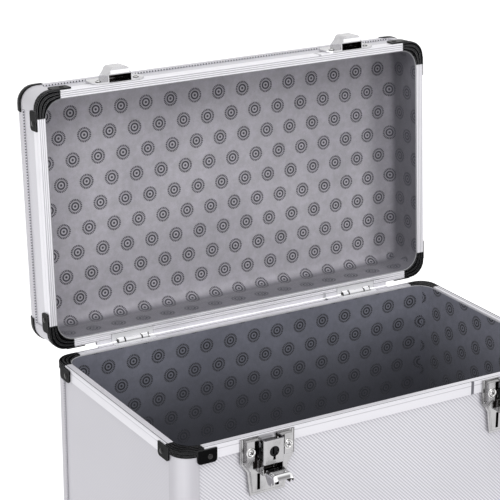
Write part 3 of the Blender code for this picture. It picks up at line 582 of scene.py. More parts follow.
@dataclass(frozen=True)
class BrightNickel:
    """Plated pressings: bright, with a slight ripple and dull smudges, and zones of painted shade and
    painted highlights.
    """

    name: str = "bright_nickel"
    colour: Colour = (0.80, 0.79, 0.80, 1)
    dull: Colour = (0.62, 0.61, 0.62, 1)
    gloss: float = 0.10
    half: Half = Half.BODY
    hollows: tuple[Hollow, ...] = ()
    metal: float = 1.0
    gloss_band: Pair = (0.3, 0.75)
    gloss_spread: float = 0.14
    smudges: Noise = Noise(90.0, 5.0, 0.6)
    smudge_band: Pair = (0.45, 0.8)
    ripple: Noise = Noise(140.0, 2.0)
    ripple_depth: float = 0.00022
    ripple_strength: float = 0.25
    grain: Noise = Noise(1900.0, 2.0)
    grain_depth: float = 0.00001
    grain_strength: float = 0.3

    def material(self) -> bpy.types.Material:
        """Builds the finish.

        Returns:
            Its material.
        """
        graph = Graph(self.name)
        spot = graph.place(Half.BODY)
        smudges = graph.noise(spot, self.smudges)
        colour = graph.blend(graph.smooth(smudges, *self.smudge_band), self.colour, self.dull)
        rough = graph.smooth(smudges, *self.gloss_band, self.gloss, self.gloss + self.gloss_spread)
        # Painted light: each zone lays painted shade or a painted highlight over the plating.
        for hollow in self.hollows:
            colour = graph.blend(hollow.mask(graph, self.half), colour, hollow.tone)
        ripple = graph.bump(graph.noise(spot, self.ripple), self.ripple_depth, self.ripple_strength)
        normal = graph.bump(graph.noise(spot, self.grain), self.grain_depth, self.grain_strength, ripple)
        return graph.dress(Base_Color=colour, Metallic=self.metal, Roughness=rough, Normal=normal)


@dataclass(frozen=True)
class RoundelCloth:
    """Grey lining cloth printed with rows of ringed roundels, on a map in metres."""

    name: str
    ground: Colour
    shade: Colour
    ink: Colour
    half: Half = Half.BODY
    pitch: float = 0.0226
    row: float = 0.0192
    dot: Pair = (0.0008, 0.0013)
    ring: float = 0.0030
    ring_half: float = 0.00045
    rim: float = 0.0054
    rim_half: float = 0.00054
    dashes: int = 24
    dash_edges: Pair = (0.10, 0.22)
    ink_band: Pair = (0.2, 0.6)
    worn_ink: Pair = (0.80, 1.0)
    patches: Noise = Noise(14.0)
    nap: Noise = Noise(1500.0, 4.0, 0.7)
    nap_share: float = 0.35
    nap_depth: float = 0.00040
    nap_strength: float = 0.7
    print_depth_share: float = 0.8
    crinkles: Noise = Noise(150.0, 7.0, 0.8)
    crinkle_band: Pair = (0.36, 0.68)
    crinkle_low: Colour = (0.90, 0.90, 0.90, 1)
    crinkle_high: Colour = (1.09, 1.08, 1.11, 1)
    dim: Colour = (0.018, 0.019, 0.027, 1)
    dim_levels: Pair = (0.215, 0.3165)
    dim_share: float = 0.88
    lip: Colour = (0.40, 0.40, 0.42, 1)
    lip_levels: Pair = (0.31495, 0.31520)
    shaded_side: Pair = (0.142, 0.158)
    side_share: float = 0.0
    rough: float = 0.88
    sheen: float = 0.25
    sheen_rough: float = 0.5

    def roundels(self, graph: Graph, shift: Pair) -> Socket:
        """Draws one lattice of roundels.

        Args:
            graph: The material's nodes.
            shift: Where the lattice starts.

        Returns:
            1 on the printed lines and 0 between them.
        """
        spot = graph.node("SeparateXYZ", {0: graph.node("UVMap").outputs[0]}).outputs
        local = []
        for axis, step in enumerate((self.pitch, self.row * 2)):
            moved = graph.calc("ADD", spot[axis], shift[axis])
            local.append(graph.calc("SUBTRACT", graph.calc("FLOORED_MODULO", moved, step), step / 2))
        flat = graph.node("CombineXYZ", {0: local[0], 1: local[1], 2: 0.0}).outputs[0]
        reach = graph.node("VectorMath", {0: flat}, operation="LENGTH").outputs["Value"]
        turn = graph.calc("MULTIPLY", graph.calc("ARCTAN2", local[1], local[0]), self.dashes / math.tau)
        bands = []
        for radius, half in ((self.ring, self.ring_half), (self.rim, self.rim_half)):
            bands.append(graph.smooth(graph.gap(reach, radius), half, half * 2, 1.0, 0.0))
        gaps = graph.smooth(graph.zigzag(turn), *self.dash_edges)
        return graph.chain("MAXIMUM", graph.smooth(reach, *self.dot, 1.0, 0.0), bands[0],
                           graph.calc("MULTIPLY", bands[1], gaps))

    def material(self) -> bpy.types.Material:
        """Builds the finish.

        Returns:
            Its material.
        """
        graph = Graph(self.name)
        printed = graph.calc("MAXIMUM", self.roundels(graph, (0.0, 0.0)),
                             self.roundels(graph, (self.pitch / 2, self.row)))
        spot = graph.place(Half.BODY)
        nap = graph.noise(spot, self.nap)
        patches = graph.smooth(graph.noise(spot, self.patches), *NOISE_BAND)
        ground = graph.blend(patches, self.ground, self.shade)
        fibres = graph.blend(graph.smooth(nap, *HIGH_BAND, 0.0, self.nap_share), ground, self.shade)
        inked = graph.calc("MULTIPLY", printed, graph.smooth(nap, *self.ink_band, *self.worn_ink))
        # Painted light: crinkles in the cloth, which have no relief, get painted sheen and shade.
        crinkles = graph.smooth(graph.noise(spot, self.crinkles), *self.crinkle_band)
        colour = graph.node("Mix", {0: 1.0, 6: graph.blend(inked, fibres, self.ink),
                                    7: graph.blend(crinkles, self.crinkle_low, self.crinkle_high)},
                            data_type="RGBA", blend_type="MULTIPLY").outputs[2]
        axes = graph.axes(self.half)
        # Painted shade: the body's lining darkens towards its floor, the lid's on its walls.
        colour = graph.blend(graph.smooth(axes[2], *self.dim_levels, self.dim_share, 0.0), colour, self.dim)
        # Painted shade: the lid's cloth darkens towards its right wall.
        if self.side_share:
            beside = graph.smooth(axes[0], *self.shaded_side, 0.0, self.side_share)
            colour = graph.blend(beside, colour, self.dim)
        colour = graph.blend(graph.smooth(axes[2], *self.lip_levels), colour, self.lip)
        height = graph.calc("SUBTRACT", nap, graph.calc("MULTIPLY", printed, self.print_depth_share))
        return graph.dress(Base_Color=colour, Roughness=self.rough, Sheen_Weight=self.sheen,
                           Sheen_Roughness=self.sheen_rough,
                           Normal=graph.bump(height, self.nap_depth, self.nap_strength))


@dataclass(frozen=True)
class SeamLine:
    """The dark joint between rail and panel, broken by the ends of the raised lines."""

    half: Half
    along: int
    pitch: float = 0.0026
    dark: Colour = (0.06, 0.06, 0.075, 1)
    light: Colour = (0.80, 0.80, 0.83, 1)
    dot_edges: Pair = (0.18, 0.26)
    rough: float = 0.6

    def material(self) -> bpy.types.Material:
        """Builds the finish.

        Returns:
            Its material.
        """
        graph = Graph(f"seam_line_{self.half.word}_{'xyz'[self.along]}")
        along = graph.calc("DIVIDE", graph.axes(self.half)[self.along], self.pitch)
        dots = graph.smooth(graph.zigzag(along), *self.dot_edges)
        return graph.dress(Base_Color=graph.blend(dots, self.dark, self.light), Roughness=self.rough)


Finish = SatinAluminium | DiamondLaminate | MouldedBlack | BrightNickel | RoundelCloth | SeamLine


@functools.cache
def material_of(finish: Finish) -> bpy.types.Material:
    """Gives a finish's material, which is built once."""
    return finish.material()


def grey(value: float) -> Colour:
    """Gives a neutral colour."""
    return (value, value, value, 1)


NICKEL = BrightNickel()
# Painted light and shade: the latch base, keeper and lever are copies of one nickel at different lightness,
# the base darkest and the lever lightest.
BASE_NICKEL_PAINTED_SHADE = BrightNickel(
    "latch_base_nickel", (0.40, 0.395, 0.40, 1), (0.32, 0.315, 0.32, 1), 0.14, Half.BODY, (
        Hollow((0.0088, 0.0128), (-0.002, 0.0036), (0.0024, 0.0254)),
        Hollow((-0.001, 0.0080), (-0.002, 0.0099), (0.0016, 0.0300)),
        Hollow((-0.001, 0.0078), (0.0040, 0.0092), (0.0002, 0.0018)),
        Hollow((0.0066, 0.0094), (-0.002, 0.0017), (0.0292, 0.0428)),
        Hollow((0.0218, 0.0223), (-0.002, 0.0030), (0.0008, 0.0200), (0.07, 0.068, 0.07, 1)),
        Hollow((0.0200, 0.0206), (-0.002, 0.0044), (0.0008, 0.0200), (0.07, 0.068, 0.07, 1))))
LEVER_NICKEL_PAINTED_LIGHT = BrightNickel(
    "latch_lever_nickel", (0.90, 0.90, 0.91, 1), (0.74, 0.74, 0.75, 1), 0.10, Half.BODY, (
        Hollow((-0.001, 0.0080), (0.0, 0.0212), (0.0249, 0.040)),
        Hollow((-0.001, 0.0080), (0.0212, 0.030), (0.0276, 0.040)),
        Hollow((-0.001, 0.0090), (0.0, 0.0118), (0.0200, 0.0252)),
        Hollow((-0.001, 0.0100), (0.0126, 0.0162), (0.0225, 0.0252), (0.12, 0.118, 0.12, 1), 0.0004),
        Hollow((-0.001, 0.0100), (0.0214, 0.0221), (0.0225, 0.0262), (0.25, 0.245, 0.25, 1), 0.0002),
        Hollow((-0.001, 0.0052), (0.0237, 0.0250), (0.0240, 0.0276), (0.26, 0.255, 0.26, 1), 0.0005),
        Hollow((0.0082, 0.0120), (0.0, 0.030), (0.0256, 0.040), (0.34, 0.335, 0.34, 1), 0.0006)))
HOOK_NICKEL = BrightNickel("latch_hook_nickel", (0.10, 0.098, 0.10, 1), (0.05, 0.049, 0.05, 1), 0.16)
KEEPER_NICKEL_PAINTED_LIGHT = BrightNickel(
    "latch_keeper_nickel", (0.60, 0.595, 0.61, 1), (0.48, 0.475, 0.49, 1), 0.12, Half.LID, (
        Hollow((-0.001, 0.0082), (0.0074, 0.0100), (-0.001, 0.0014), (0.92, 0.92, 0.93, 1), 0.0004),
        Hollow((-0.001, 0.0098), (0.0056, 0.0066), (-0.001, 0.0022), (0.16, 0.155, 0.16, 1)),
        Hollow((-0.001, 0.0101), (0.0008, 0.0061), (0.0006, 0.0164)),
        Hollow((-0.001, 0.0072), (0.0060, 0.0110), (0.0014, 0.0116))))
# Painted reflection: a dark nickel for the rounded edges of the latch base, lever and keeper.
PAINTED_DARK_EDGE_NICKEL = BrightNickel("edge_nickel", (0.09, 0.088, 0.09, 1), grey(0.05), 0.16)
SCREW_NICKEL = BrightNickel("screw_nickel", (0.66, 0.655, 0.66, 1), (0.50, 0.495, 0.50, 1), 0.16)
DISH_NICKEL = BrightNickel("dish_nickel", (0.62, 0.615, 0.61, 1), (0.46, 0.455, 0.45, 1), 0.12)
# Dark steel of the tab rivets, also used as painted shade in the cross recesses of the screws.
DARK_STEEL_AND_RECESS_SHADE = BrightNickel("dark_rivet_steel", (0.035, 0.034, 0.034, 1), grey(0.015), 0.16)
# Painted shade: two dark slots across the hinge knuckles and a grey line along them.
HINGE_ZINC_PAINTED_SHADE = BrightNickel(
    "hinge_zinc", (0.90, 0.90, 0.92, 1), (0.80, 0.80, 0.82, 1), 0.34, Half.BODY, (
        Hollow((0.0070, 0.0083), (-0.2136, -0.2083), (-0.001, 0.0030)),
        Hollow((0.0133, 0.0146), (-0.2136, -0.2083), (-0.001, 0.0030)),
        Hollow((-0.001, 0.0146), (-0.2090, -0.2080), (-0.001, 0.0030), (0.16, 0.16, 0.165, 1))), 0.25)
# Painted reflection: a dark finish for the rounded edges of the hinge leaves.
HINGE_PAINTED_DARK_EDGE = BrightNickel("hinge_edge", (0.07, 0.07, 0.072, 1), (0.04, 0.04, 0.041, 1), 0.34, metal=0.25)
# Painted shade: the lock plug is near black so that its keyhole reads as a dark hole.
LOCK_STEEL_PAINTED_SHADE = BrightNickel("lock_steel", (0.020, 0.020, 0.021, 1), (0.010, 0.010, 0.011, 1), 0.30)
BLACK = MouldedBlack()
# Painted highlight: a grey black for the rounded edges of the mouth brackets, standing for light on their
# ribs.
BLACK_PAINTED_EDGE_HIGHLIGHT = MouldedBlack((0.15, 0.15, 0.155, 1), (0.24, 0.24, 0.245, 1), 0.22)
GRIP_BLACK = MouldedBlack(gloss=0.42, grain_strength=0.8)


def in_scene(name: str, data: bpy.types.Mesh | bpy.types.Camera | bpy.types.Light) -> bpy.types.Object:
    """Puts an object with a name and its data into the scene, and gives it."""
    made = bpy.data.objects.new(name, data)
    bpy.context.scene.collection.objects.link(made)
    return made


def as_object(name: str, bm: BMesh) -> bpy.types.Object:
    """Makes a plain object of a bmesh.

    Args:
        name: The object's name.
        bm: Its shape; it is freed.

    Returns:
        The object.
    """
    mesh = bpy.data.meshes.new(name)
    bm.to_mesh(mesh)
    bm.free()
    return in_scene(name, mesh)


def finish_piece(name: str, bm: BMesh, finish: Finish, rides: Half | str, node: str = "",
                 crease: float = 35.0, second: Finish | None = None) -> bpy.types.Object:
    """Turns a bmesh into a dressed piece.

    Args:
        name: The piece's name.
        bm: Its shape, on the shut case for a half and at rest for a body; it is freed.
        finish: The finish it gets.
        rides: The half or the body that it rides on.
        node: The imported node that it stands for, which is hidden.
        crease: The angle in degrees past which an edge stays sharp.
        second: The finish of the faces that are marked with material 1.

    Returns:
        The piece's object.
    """
    if rides is Half.LID:
        bmesh.ops.transform(bm, matrix=LAYOUT.lid_turn, verts=bm.verts[:])
    body = rides.value if isinstance(rides, Half) else rides
    piece = as_object(name, bm)
    mesh = piece.data
    mesh.materials.append(material_of(finish))
    if second is not None:
        mesh.materials.append(material_of(second))
    mesh.shade_smooth()
    mesh.set_sharp_from_angle(angle=math.radians(crease))
    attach(piece, body)
    if node:
        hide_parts(node)
    LOG.info("%s on %s: %d faces", name, body, len(mesh.polygons))
    return piece


@dataclass
class SoftenedNode:
    """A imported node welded, with its edges broken by a small round."""

    node: str
    finish: Finish
    width: float = 0.0003
    segments: int = 2
    crease: float = 32.0
    edge_finish: Finish | None = None
    rounded_crease: float = 50.0
    weld: float = 1e-6
    flat: float = 0.4

    def shape(self) -> BMesh:
        """Welds a copy of the node's mesh and rounds its sharp edges.

        Returns:
            The shape, its rounds marked with material 1 where they have a finish.
        """
        bm = bmesh.new()
        bm.from_mesh(FRAME["nodes"][self.node].data)
        bmesh.ops.remove_doubles(bm, verts=bm.verts[:], dist=self.weld)
        bmesh.ops.dissolve_limit(bm, angle_limit=math.radians(self.flat), verts=bm.verts[:],
                                 edges=bm.edges[:])
        if self.width:
            sharp = [edge for edge in bm.edges if len(edge.link_faces) == 2
                     and edge.calc_face_angle(0) > math.radians(self.crease)]
            for face in round_off(bm, sharp, self.width, self.segments):
                face.material_index = 0 if self.edge_finish is None else 1
        return bm

    def build(self) -> None:
        """Builds the piece in place of its node."""
        body = FRAME["nodes"][self.node]["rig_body"]
        crease = self.rounded_crease if self.width else self.crease
        piece = finish_piece(f"{self.node}_finished", self.shape(), self.finish, body, self.node, crease,
                             self.edge_finish)
        if self.width:
            weights = piece.modifiers.new("weights", "WEIGHTED_NORMAL")
            weights.keep_sharp = True


def round_off(bm: BMesh, edges: list[bmesh.types.BMEdge], width: float,
              segments: int) -> list[bmesh.types.BMFace]:
    """Rounds edges off by a width in so many flats, and gives the faces of the rounds."""
    return bmesh.ops.bevel(bm, geom=edges, offset=width, offset_type="OFFSET", affect="EDGES",
                           segments=segments, profile=0.5, clamp_overlap=True, material=-1)["faces"]


@dataclass
class Shell:
    """Rails, posts and panels of both halves."""

    edge_round: float = 0.0003
    rim_round: float = 0.0002
    grooves: dict[Half, tuple[float, ...]] = field(default_factory=lambda: {
        Half.BODY: (0.0012,), Half.LID: (0.0016, 0.0032, 0.0048)})
    other_grooves: dict[tuple[Half, Face], tuple[float, ...]] = field(default_factory=lambda: {
        (Half.BODY, Face.RIGHT): (0.0003, 0.0009, 0.0034), (Half.LID, Face.BACK): (0.0008,)})

    def build(self) -> None:
        """Builds every rail and dresses every panel."""
        for place in CORNERS:
            SoftenedNode(f"body_post_{place}", SatinAluminium(Half.BODY, 2), self.edge_round).build()
        SoftenedNode("body_base_rails", SatinAluminium(Half.BODY), 0).build()
        SoftenedNode("lid_edge_frame", SatinAluminium(Half.LID), 0).build()
        for half, closed in ((Half.BODY, Face.BOTTOM), (Half.LID, Face.TOP)):
            for face in WALLS:
                grooves = self.other_grooves.get((half, face), self.grooves[half])
                metal = SatinAluminium(half, 0 if face in LONG_WALLS else 1, grooves)
                SoftenedNode(f"{half.word}_rim_{face.word}", metal, self.rim_round, 1).build()
            for face in (*WALLS, closed):
                SoftenedNode(f"{half.word}_{face.word}_panel", DiamondLaminate(half, face), 0).build()


@dataclass
class BlackCorners:
    """Brackets at the mouths and caps on the outer corners, with their rivets."""

    edge_round: float = 0.0002
    rivet_radius: float = 0.0022
    rivet_height: float = 0.0009
    rivet_along: float = 0.0245
    rivet_down: float = 0.0072
    tab_face: float = 0.00135

    def build(self) -> None:
        """Builds the corner pieces of both halves."""
        for half, outer in ((Half.BODY, "foot"), (Half.LID, "top")):
            for place in CORNERS:
                # The brackets' rounded edges get the painted highlight.
                SoftenedNode(f"{half.word}_rim_corner_{place}", BLACK, self.edge_round,
                             edge_finish=BLACK_PAINTED_EDGE_HIGHLIGHT).build()
                SoftenedNode(f"{half.word}_{outer}_corner_{place}", BLACK, self.edge_round, 1).build()
            self.rivets(half)

    def rivets(self, half: Half) -> None:
        """Sets a domed rivet in each tab of one half.

        Args:
            half: The half they are on.
        """
        bm = bmesh.new()
        for face in WALLS:
            reach = LAYOUT.half_length(face) - self.rivet_along
            for along in (-reach, reach):
                at = LAYOUT.wall_point(face, along, -self.tab_face, LAYOUT.from_mouth(half, self.rivet_down))
                dome(bm, LAYOUT.wall_frame(face, at), self.rivet_radius, self.rivet_height)
        finish_piece(f"{half.word}_tab_rivets", bm, DARK_STEEL_AND_RECESS_SHADE, half)


def dome(bm: BMesh, place: Matrix, radius: float, height: float,
         steps: tuple[int, int] = (20, 10), sunk_share: float = 0.15) -> None:
    """Adds a closed dome that stands on its plane.

    Args:
        bm: Where it is added.
        place: The matrix that takes +Z to its outward direction.
        radius: Its radius.
        height: Its height.
        steps: Steps round it, and from pole to pole of its sphere.
        sunk_share: How much of its height lies under the plane.
    """
    made = bmesh.ops.create_uvsphere(bm, u_segments=steps[0], v_segments=steps[1], radius=1.0)["verts"]
    for vert in made:
        vert.co.z = max(vert.co.z, -sunk_share)
        vert.co = Vector((vert.co.x * radius, vert.co.y * radius, vert.co.z * height))
    bmesh.ops.transform(bm, matrix=place, verts=made)


@dataclass
class Lining:
    """A padded tray inside one half, its floor edges folded round."""

    half: Half
    finish: RoundelCloth
    inset: float = 0.0071
    skin: float = 0.0008
    corner: float = 0.0143
    fold: float = 0.0095
    drop: float = 0.0010
    body_floor: float = 0.0100
    lid_floor: float = 0.3539
    round_steps: int = 6
    crease: float = 60.0
    near: float = 1e-5
    upright: float = 1e-3
    level_share: float = 0.98

    @property
    def levels(self) -> Pair:
        """The floor's level and the mouth's."""
        floor = self.body_floor if self.half is Half.BODY else self.lid_floor
        return floor, LAYOUT.from_mouth(self.half, self.drop)

    def shape(self) -> BMesh:
        """Shapes the tray's visible side.

        Returns:
            The shape on the shut case, its faces looking inwards.
        """
        floor, mouth = self.levels
        x, y = LAYOUT.half_width - self.inset, LAYOUT.half_depth - self.inset
        middle = Vector((0, LAYOUT.middle, (mouth + floor) / 2))
        bm = bmesh.new()
        bmesh.ops.create_cube(bm, size=2.0)
        bmesh.ops.scale(bm, vec=(x, y, abs(mouth - floor) / 2), verts=bm.verts[:])
        bmesh.ops.translate(bm, vec=middle, verts=bm.verts[:])
        lids = [face for face in bm.faces if abs(face.calc_center_median().z - mouth) < self.near]
        bmesh.ops.delete(bm, geom=lids, context="FACES")
        uprights = [edge for edge in bm.edges
                    if abs(edge.verts[0].co.z - edge.verts[1].co.z) > self.upright]
        round_off(bm, uprights, self.corner, self.round_steps)
        base = [edge for edge in bm.edges if all(abs(vert.co.z - floor) < self.near for vert in edge.verts)]
        round_off(bm, base, self.fold, self.round_steps)
        bmesh.ops.recalc_face_normals(bm, faces=bm.faces[:])
        flat = max(bm.faces, key=lambda face: face.calc_area())
        if flat.normal.dot(flat.calc_center_median() - middle) > 0:
            bmesh.ops.reverse_faces(bm, faces=bm.faces[:])
        return bm

    def unroll(self, bm: BMesh) -> None:
        """Maps the cloth in metres: the floor flat, each wall rolled out from its fold.

        Args:
            bm: The tray on the shut case.
        """
        floor, _ = self.levels
        sheet = bm.loops.layers.uv.new("cloth")
        reach = (LAYOUT.half_width - self.inset, LAYOUT.half_depth - self.inset)
        for face in bm.faces:
            centre = face.calc_center_median() - Vector((0, LAYOUT.middle, 0))
            axis = 0 if abs(face.normal.x) > abs(face.normal.y) else 1
            side = math.copysign(1, centre[axis])
            for loop in face.loops:
                spot = loop.vert.co - Vector((0, LAYOUT.middle, 0))
                if abs(face.normal.z) > self.level_share:
                    loop[sheet].uv = (spot.x, spot.y)
                    continue
                rolled = abs(spot.z - floor) - self.fold
                if rolled < 0:
                    inwards = reach[axis] - side * spot[axis]
                    angle = math.atan2(self.fold - inwards, -rolled)
                    rolled = self.fold * (max(angle, 0.0) - math.pi / 2)
                out = side * (reach[axis] + rolled + self.fold * (math.pi / 2 - 1))
                loop[sheet].uv = (out, spot.y) if axis == 0 else (spot.x, out)

    def build(self) -> None:
        """Builds the tray and stands it in for the plain one."""
        bm = self.shape()
        self.unroll(bm)
        word = self.half.word
        piece = finish_piece(f"{word}_lining_cloth", bm, self.finish, self.half, f"{word}_lining",
                             self.crease)
        thick = piece.modifiers.new("thickness", "SOLIDIFY")
        thick.thickness = self.skin
        thick.offset = -1.0


@dataclass(frozen=True)
class CrossHead:
    """A domed screw head with a cross recess, whose bars are shares of the head's size."""

    radius: float
    height: float
    steps: tuple[int, int] = (28, 10)
    bar_length_share: float = 1.25
    bar_width_share: float = 0.30
    bar_height_share: float = 1.3
    dome_share: float = 0.99
    skin: float = 0.00005

    def add(self, bm: BMesh, place: Matrix) -> None:
        """Adds the head, the faces of its recess marked with material 1.

        Args:
            bm: Where it is added.
            place: The matrix that takes +Z to its outward direction.
        """
        head = bmesh.new()
        dome(head, Matrix.Identity(4), self.radius, self.height, self.steps)
        bmesh.ops.recalc_face_normals(head, faces=head.faces[:])
        body = as_object("head", head)
        size = (self.radius * self.bar_length_share, self.radius * self.bar_width_share,
                self.height * self.bar_height_share)
        for turn in (0.0, math.pi / 2):
            bar = bmesh.new()
            bmesh.ops.create_cube(bar, size=1.0)
            bmesh.ops.scale(bar, vec=size, verts=bar.verts[:])
            aside = Matrix.Rotation(turn, 4, "Z") @ Matrix.Translation((0, 0, self.height))
            bmesh.ops.transform(bar, matrix=aside, verts=bar.verts[:])
            carve(body, as_object("bar", bar))
        for face in body.data.polygons:
            face.material_index = 1 if self.is_recess(face.center) else 0
        pour(body, bm, place)

    def is_recess(self, spot: Vector) -> bool:
        """Tells whether a face's centre lies well under the dome and above its plane."""
        rise = math.sqrt(max(1 - (spot.x ** 2 + spot.y ** 2) / self.radius ** 2, 0.0))
        return 0 < spot.z < self.height * self.dome_share * rise - self.skin


@dataclass(frozen=True)
class Dish:
    """The raised ring round a screw head, rounded outside and sloping in towards the head."""

    inner: float
    outer: float
    height: float
    steps: int = 28
    profile_shares: tuple[Pair, ...] = (
        (1.0, -0.1), (0.94, 0.45), (0.78, 0.85), (0.55, 1.0), (0.35, 0.85), (0.0, 0.10))

    def add(self, bm: BMesh, place: Matrix) -> None:
        """Adds the ring.

        Args:
            bm: Where it is added.
            place: The matrix that takes +Z to its outward direction.
        """
        made = bmesh.new()
        span = self.outer - self.inner
        verts = [made.verts.new((self.inner + span * share, 0, self.height * rise))
                 for share, rise in self.profile_shares]
        edges = [made.edges.new(pair) for pair in zip(verts, verts[1:])]
        bmesh.ops.spin(made, geom=verts + edges, cent=(0, 0, 0), axis=(0, 0, 1), angle=math.tau,
                       steps=self.steps, use_merge=True)
        bmesh.ops.recalc_face_normals(made, faces=made.faces[:])
        pour(as_object("dish", made), bm, place)


def pour(source: bpy.types.Object, bm: BMesh, place: Matrix) -> None:
    """Adds an object's shape to a bmesh.

    Args:
        source: The object; it is removed.
        bm: Where its shape is added.
        place: The matrix that takes the shape to its place.
    """
    source.data.transform(place)
    bm.from_mesh(source.data)
    bpy.data.objects.remove(source, do_unlink=True)


def carve(target: bpy.types.Object, tool: bpy.types.Object) -> None:
    """Cuts one object out of another.

    Args:
        target: What is cut.
        tool: What is cut out of it; it is removed.
    """
    cut = target.modifiers.new("cut", "BOOLEAN")
    cut.operation = "DIFFERENCE"
    cut.solver = "EXACT"
    cut.object = tool
    graph = bpy.context.evaluated_depsgraph_get()
    mesh = bpy.data.meshes.new_from_object(target.evaluated_get(graph))
    target.modifiers.clear()
    target.data = mesh
    bpy.data.objects.remove(tool, do_unlink=True)


@dataclass
class Latch:
    """One draw latch: base, lever, hook, lock plug and keeper, with their screws."""

    hand: Hand
    edge_round: float = 0.0004
    keeper_round: float = 0.0006
    screw: CrossHead = CrossHead(0.0025, 0.0012)
    dish: Dish = Dish(0.0024, 0.0040, 0.0009)
    base_screw: Triple = (0.0157, 0.0108, 0.0042)
    keeper_screw: Triple = (0.0165, 0.0060, 0.0015)
    turns: Pair = (0.5, 1.4)
    crease: float = 30.0

    def build(self) -> None:
        """Builds the latch."""
        name = f"latch_{self.hand.word}"
        # The rounded edges get painted reflections: dark on the base, lever and keeper, bright on the dark
        # hook.
        for part, finish, edge in (("base", BASE_NICKEL_PAINTED_SHADE, PAINTED_DARK_EDGE_NICKEL), ("lever", LEVER_NICKEL_PAINTED_LIGHT, PAINTED_DARK_EDGE_NICKEL),
                                   ("hook", HOOK_NICKEL, NICKEL), ("keeper", KEEPER_NICKEL_PAINTED_LIGHT, PAINTED_DARK_EDGE_NICKEL)):
            width = self.keeper_round if part == "keeper" else self.edge_round
            SoftenedNode(f"{name}_{part}", finish, width, edge_finish=edge).build()
        SoftenedNode(f"{name}_lock", LOCK_STEEL_PAINTED_SHADE, self.edge_round / 2, 1).build()
        dishes = bmesh.new()
        for part, half, spot in (("base", Half.BODY, self.base_screw),
                                 ("keeper", Half.LID, self.keeper_screw)):
            bm = bmesh.new()
            for place in self.screw_places(half, *spot):
                self.screw.add(bm, place)
                if half is Half.BODY:
                    self.dish.add(dishes, place)
            # Painted shade: the screws' cross recesses get the dark steel.
            finish_piece(f"{name}_{part}_screws", bm, SCREW_NICKEL, half, crease=self.crease,
                         second=DARK_STEEL_AND_RECESS_SHADE)
        finish_piece(f"{name}_screw_dishes", dishes, DISH_NICKEL, Half.BODY)

    def screw_places(self, half: Half, across: float, down: float, face: float) -> list[Matrix]:
        """Works out where the two screws of one half sit.

        Args:
            half: The half.
            across: How far they are from the latch's middle.
            down: How far they are from the half's mouth.
            face: How far the plate's face stands out of the rails.

        Returns:
            The matrices that take +Z to the screws' outward directions.
        """
        centre = self.hand.value * LAYOUT.latch_place
        level = LAYOUT.from_mouth(half, down)
        spots = [LAYOUT.wall_point(Face.FRONT, centre + side, -face, level) for side in (-across, across)]
        return [LAYOUT.wall_frame(Face.FRONT, spot) @ Matrix.Rotation(turn, 4, "Z")
                for spot, turn in zip(spots, self.turns)]


@dataclass
class Hinges:
    """The two butt hinges between the back rails."""

    edge_round: float = 0.0004

    def build(self) -> None:
        """Builds both leaves of both hinges."""
        for hand in Hand:
            for half in Half:
                SoftenedNode(f"hinge_{hand.word}_{half.word}_leaf", HINGE_ZINC_PAINTED_SHADE, self.edge_round, 1,
                             edge_finish=HINGE_PAINTED_DARK_EDGE).build()


@dataclass
class Handle:
    """The carrying handle with its mounts and their screws."""

    edge_round: float = 0.0005
    grip_crease: float = 50.0
    screw: CrossHead = CrossHead(0.0024, 0.0011)
    screw_crease: float = 30.0
    mount_place: float = 0.0640
    screw_out: float = 0.0115
    screw_side: float = 0.0085
    plate_face: float = 0.00175
    panel_inset: float = 0.0014

    def build(self) -> None:
        """Builds the handle."""
        for hand in Hand:
            SoftenedNode(f"handle_mount_{hand.word}", NICKEL, self.edge_round / 2).build()
        SoftenedNode("handle_grip", GRIP_BLACK, 0, crease=self.grip_crease).build()
        bm = bmesh.new()
        level = LAYOUT.lid_top - self.panel_inset + self.plate_face
        for hand in Hand:
            across = hand.value * (self.mount_place + self.screw_out)
            for side in (-self.screw_side, self.screw_side):
                at = Vector((across, LAYOUT.middle + side, level))
                self.screw.add(bm, LAYOUT.wall_frame(Face.TOP, at))
        # Painted shade: the screws' cross recesses get the dark steel.
        finish_piece("handle_screws", bm, SCREW_NICKEL, Half.LID, crease=self.screw_crease,
                     second=DARK_STEEL_AND_RECESS_SHADE)


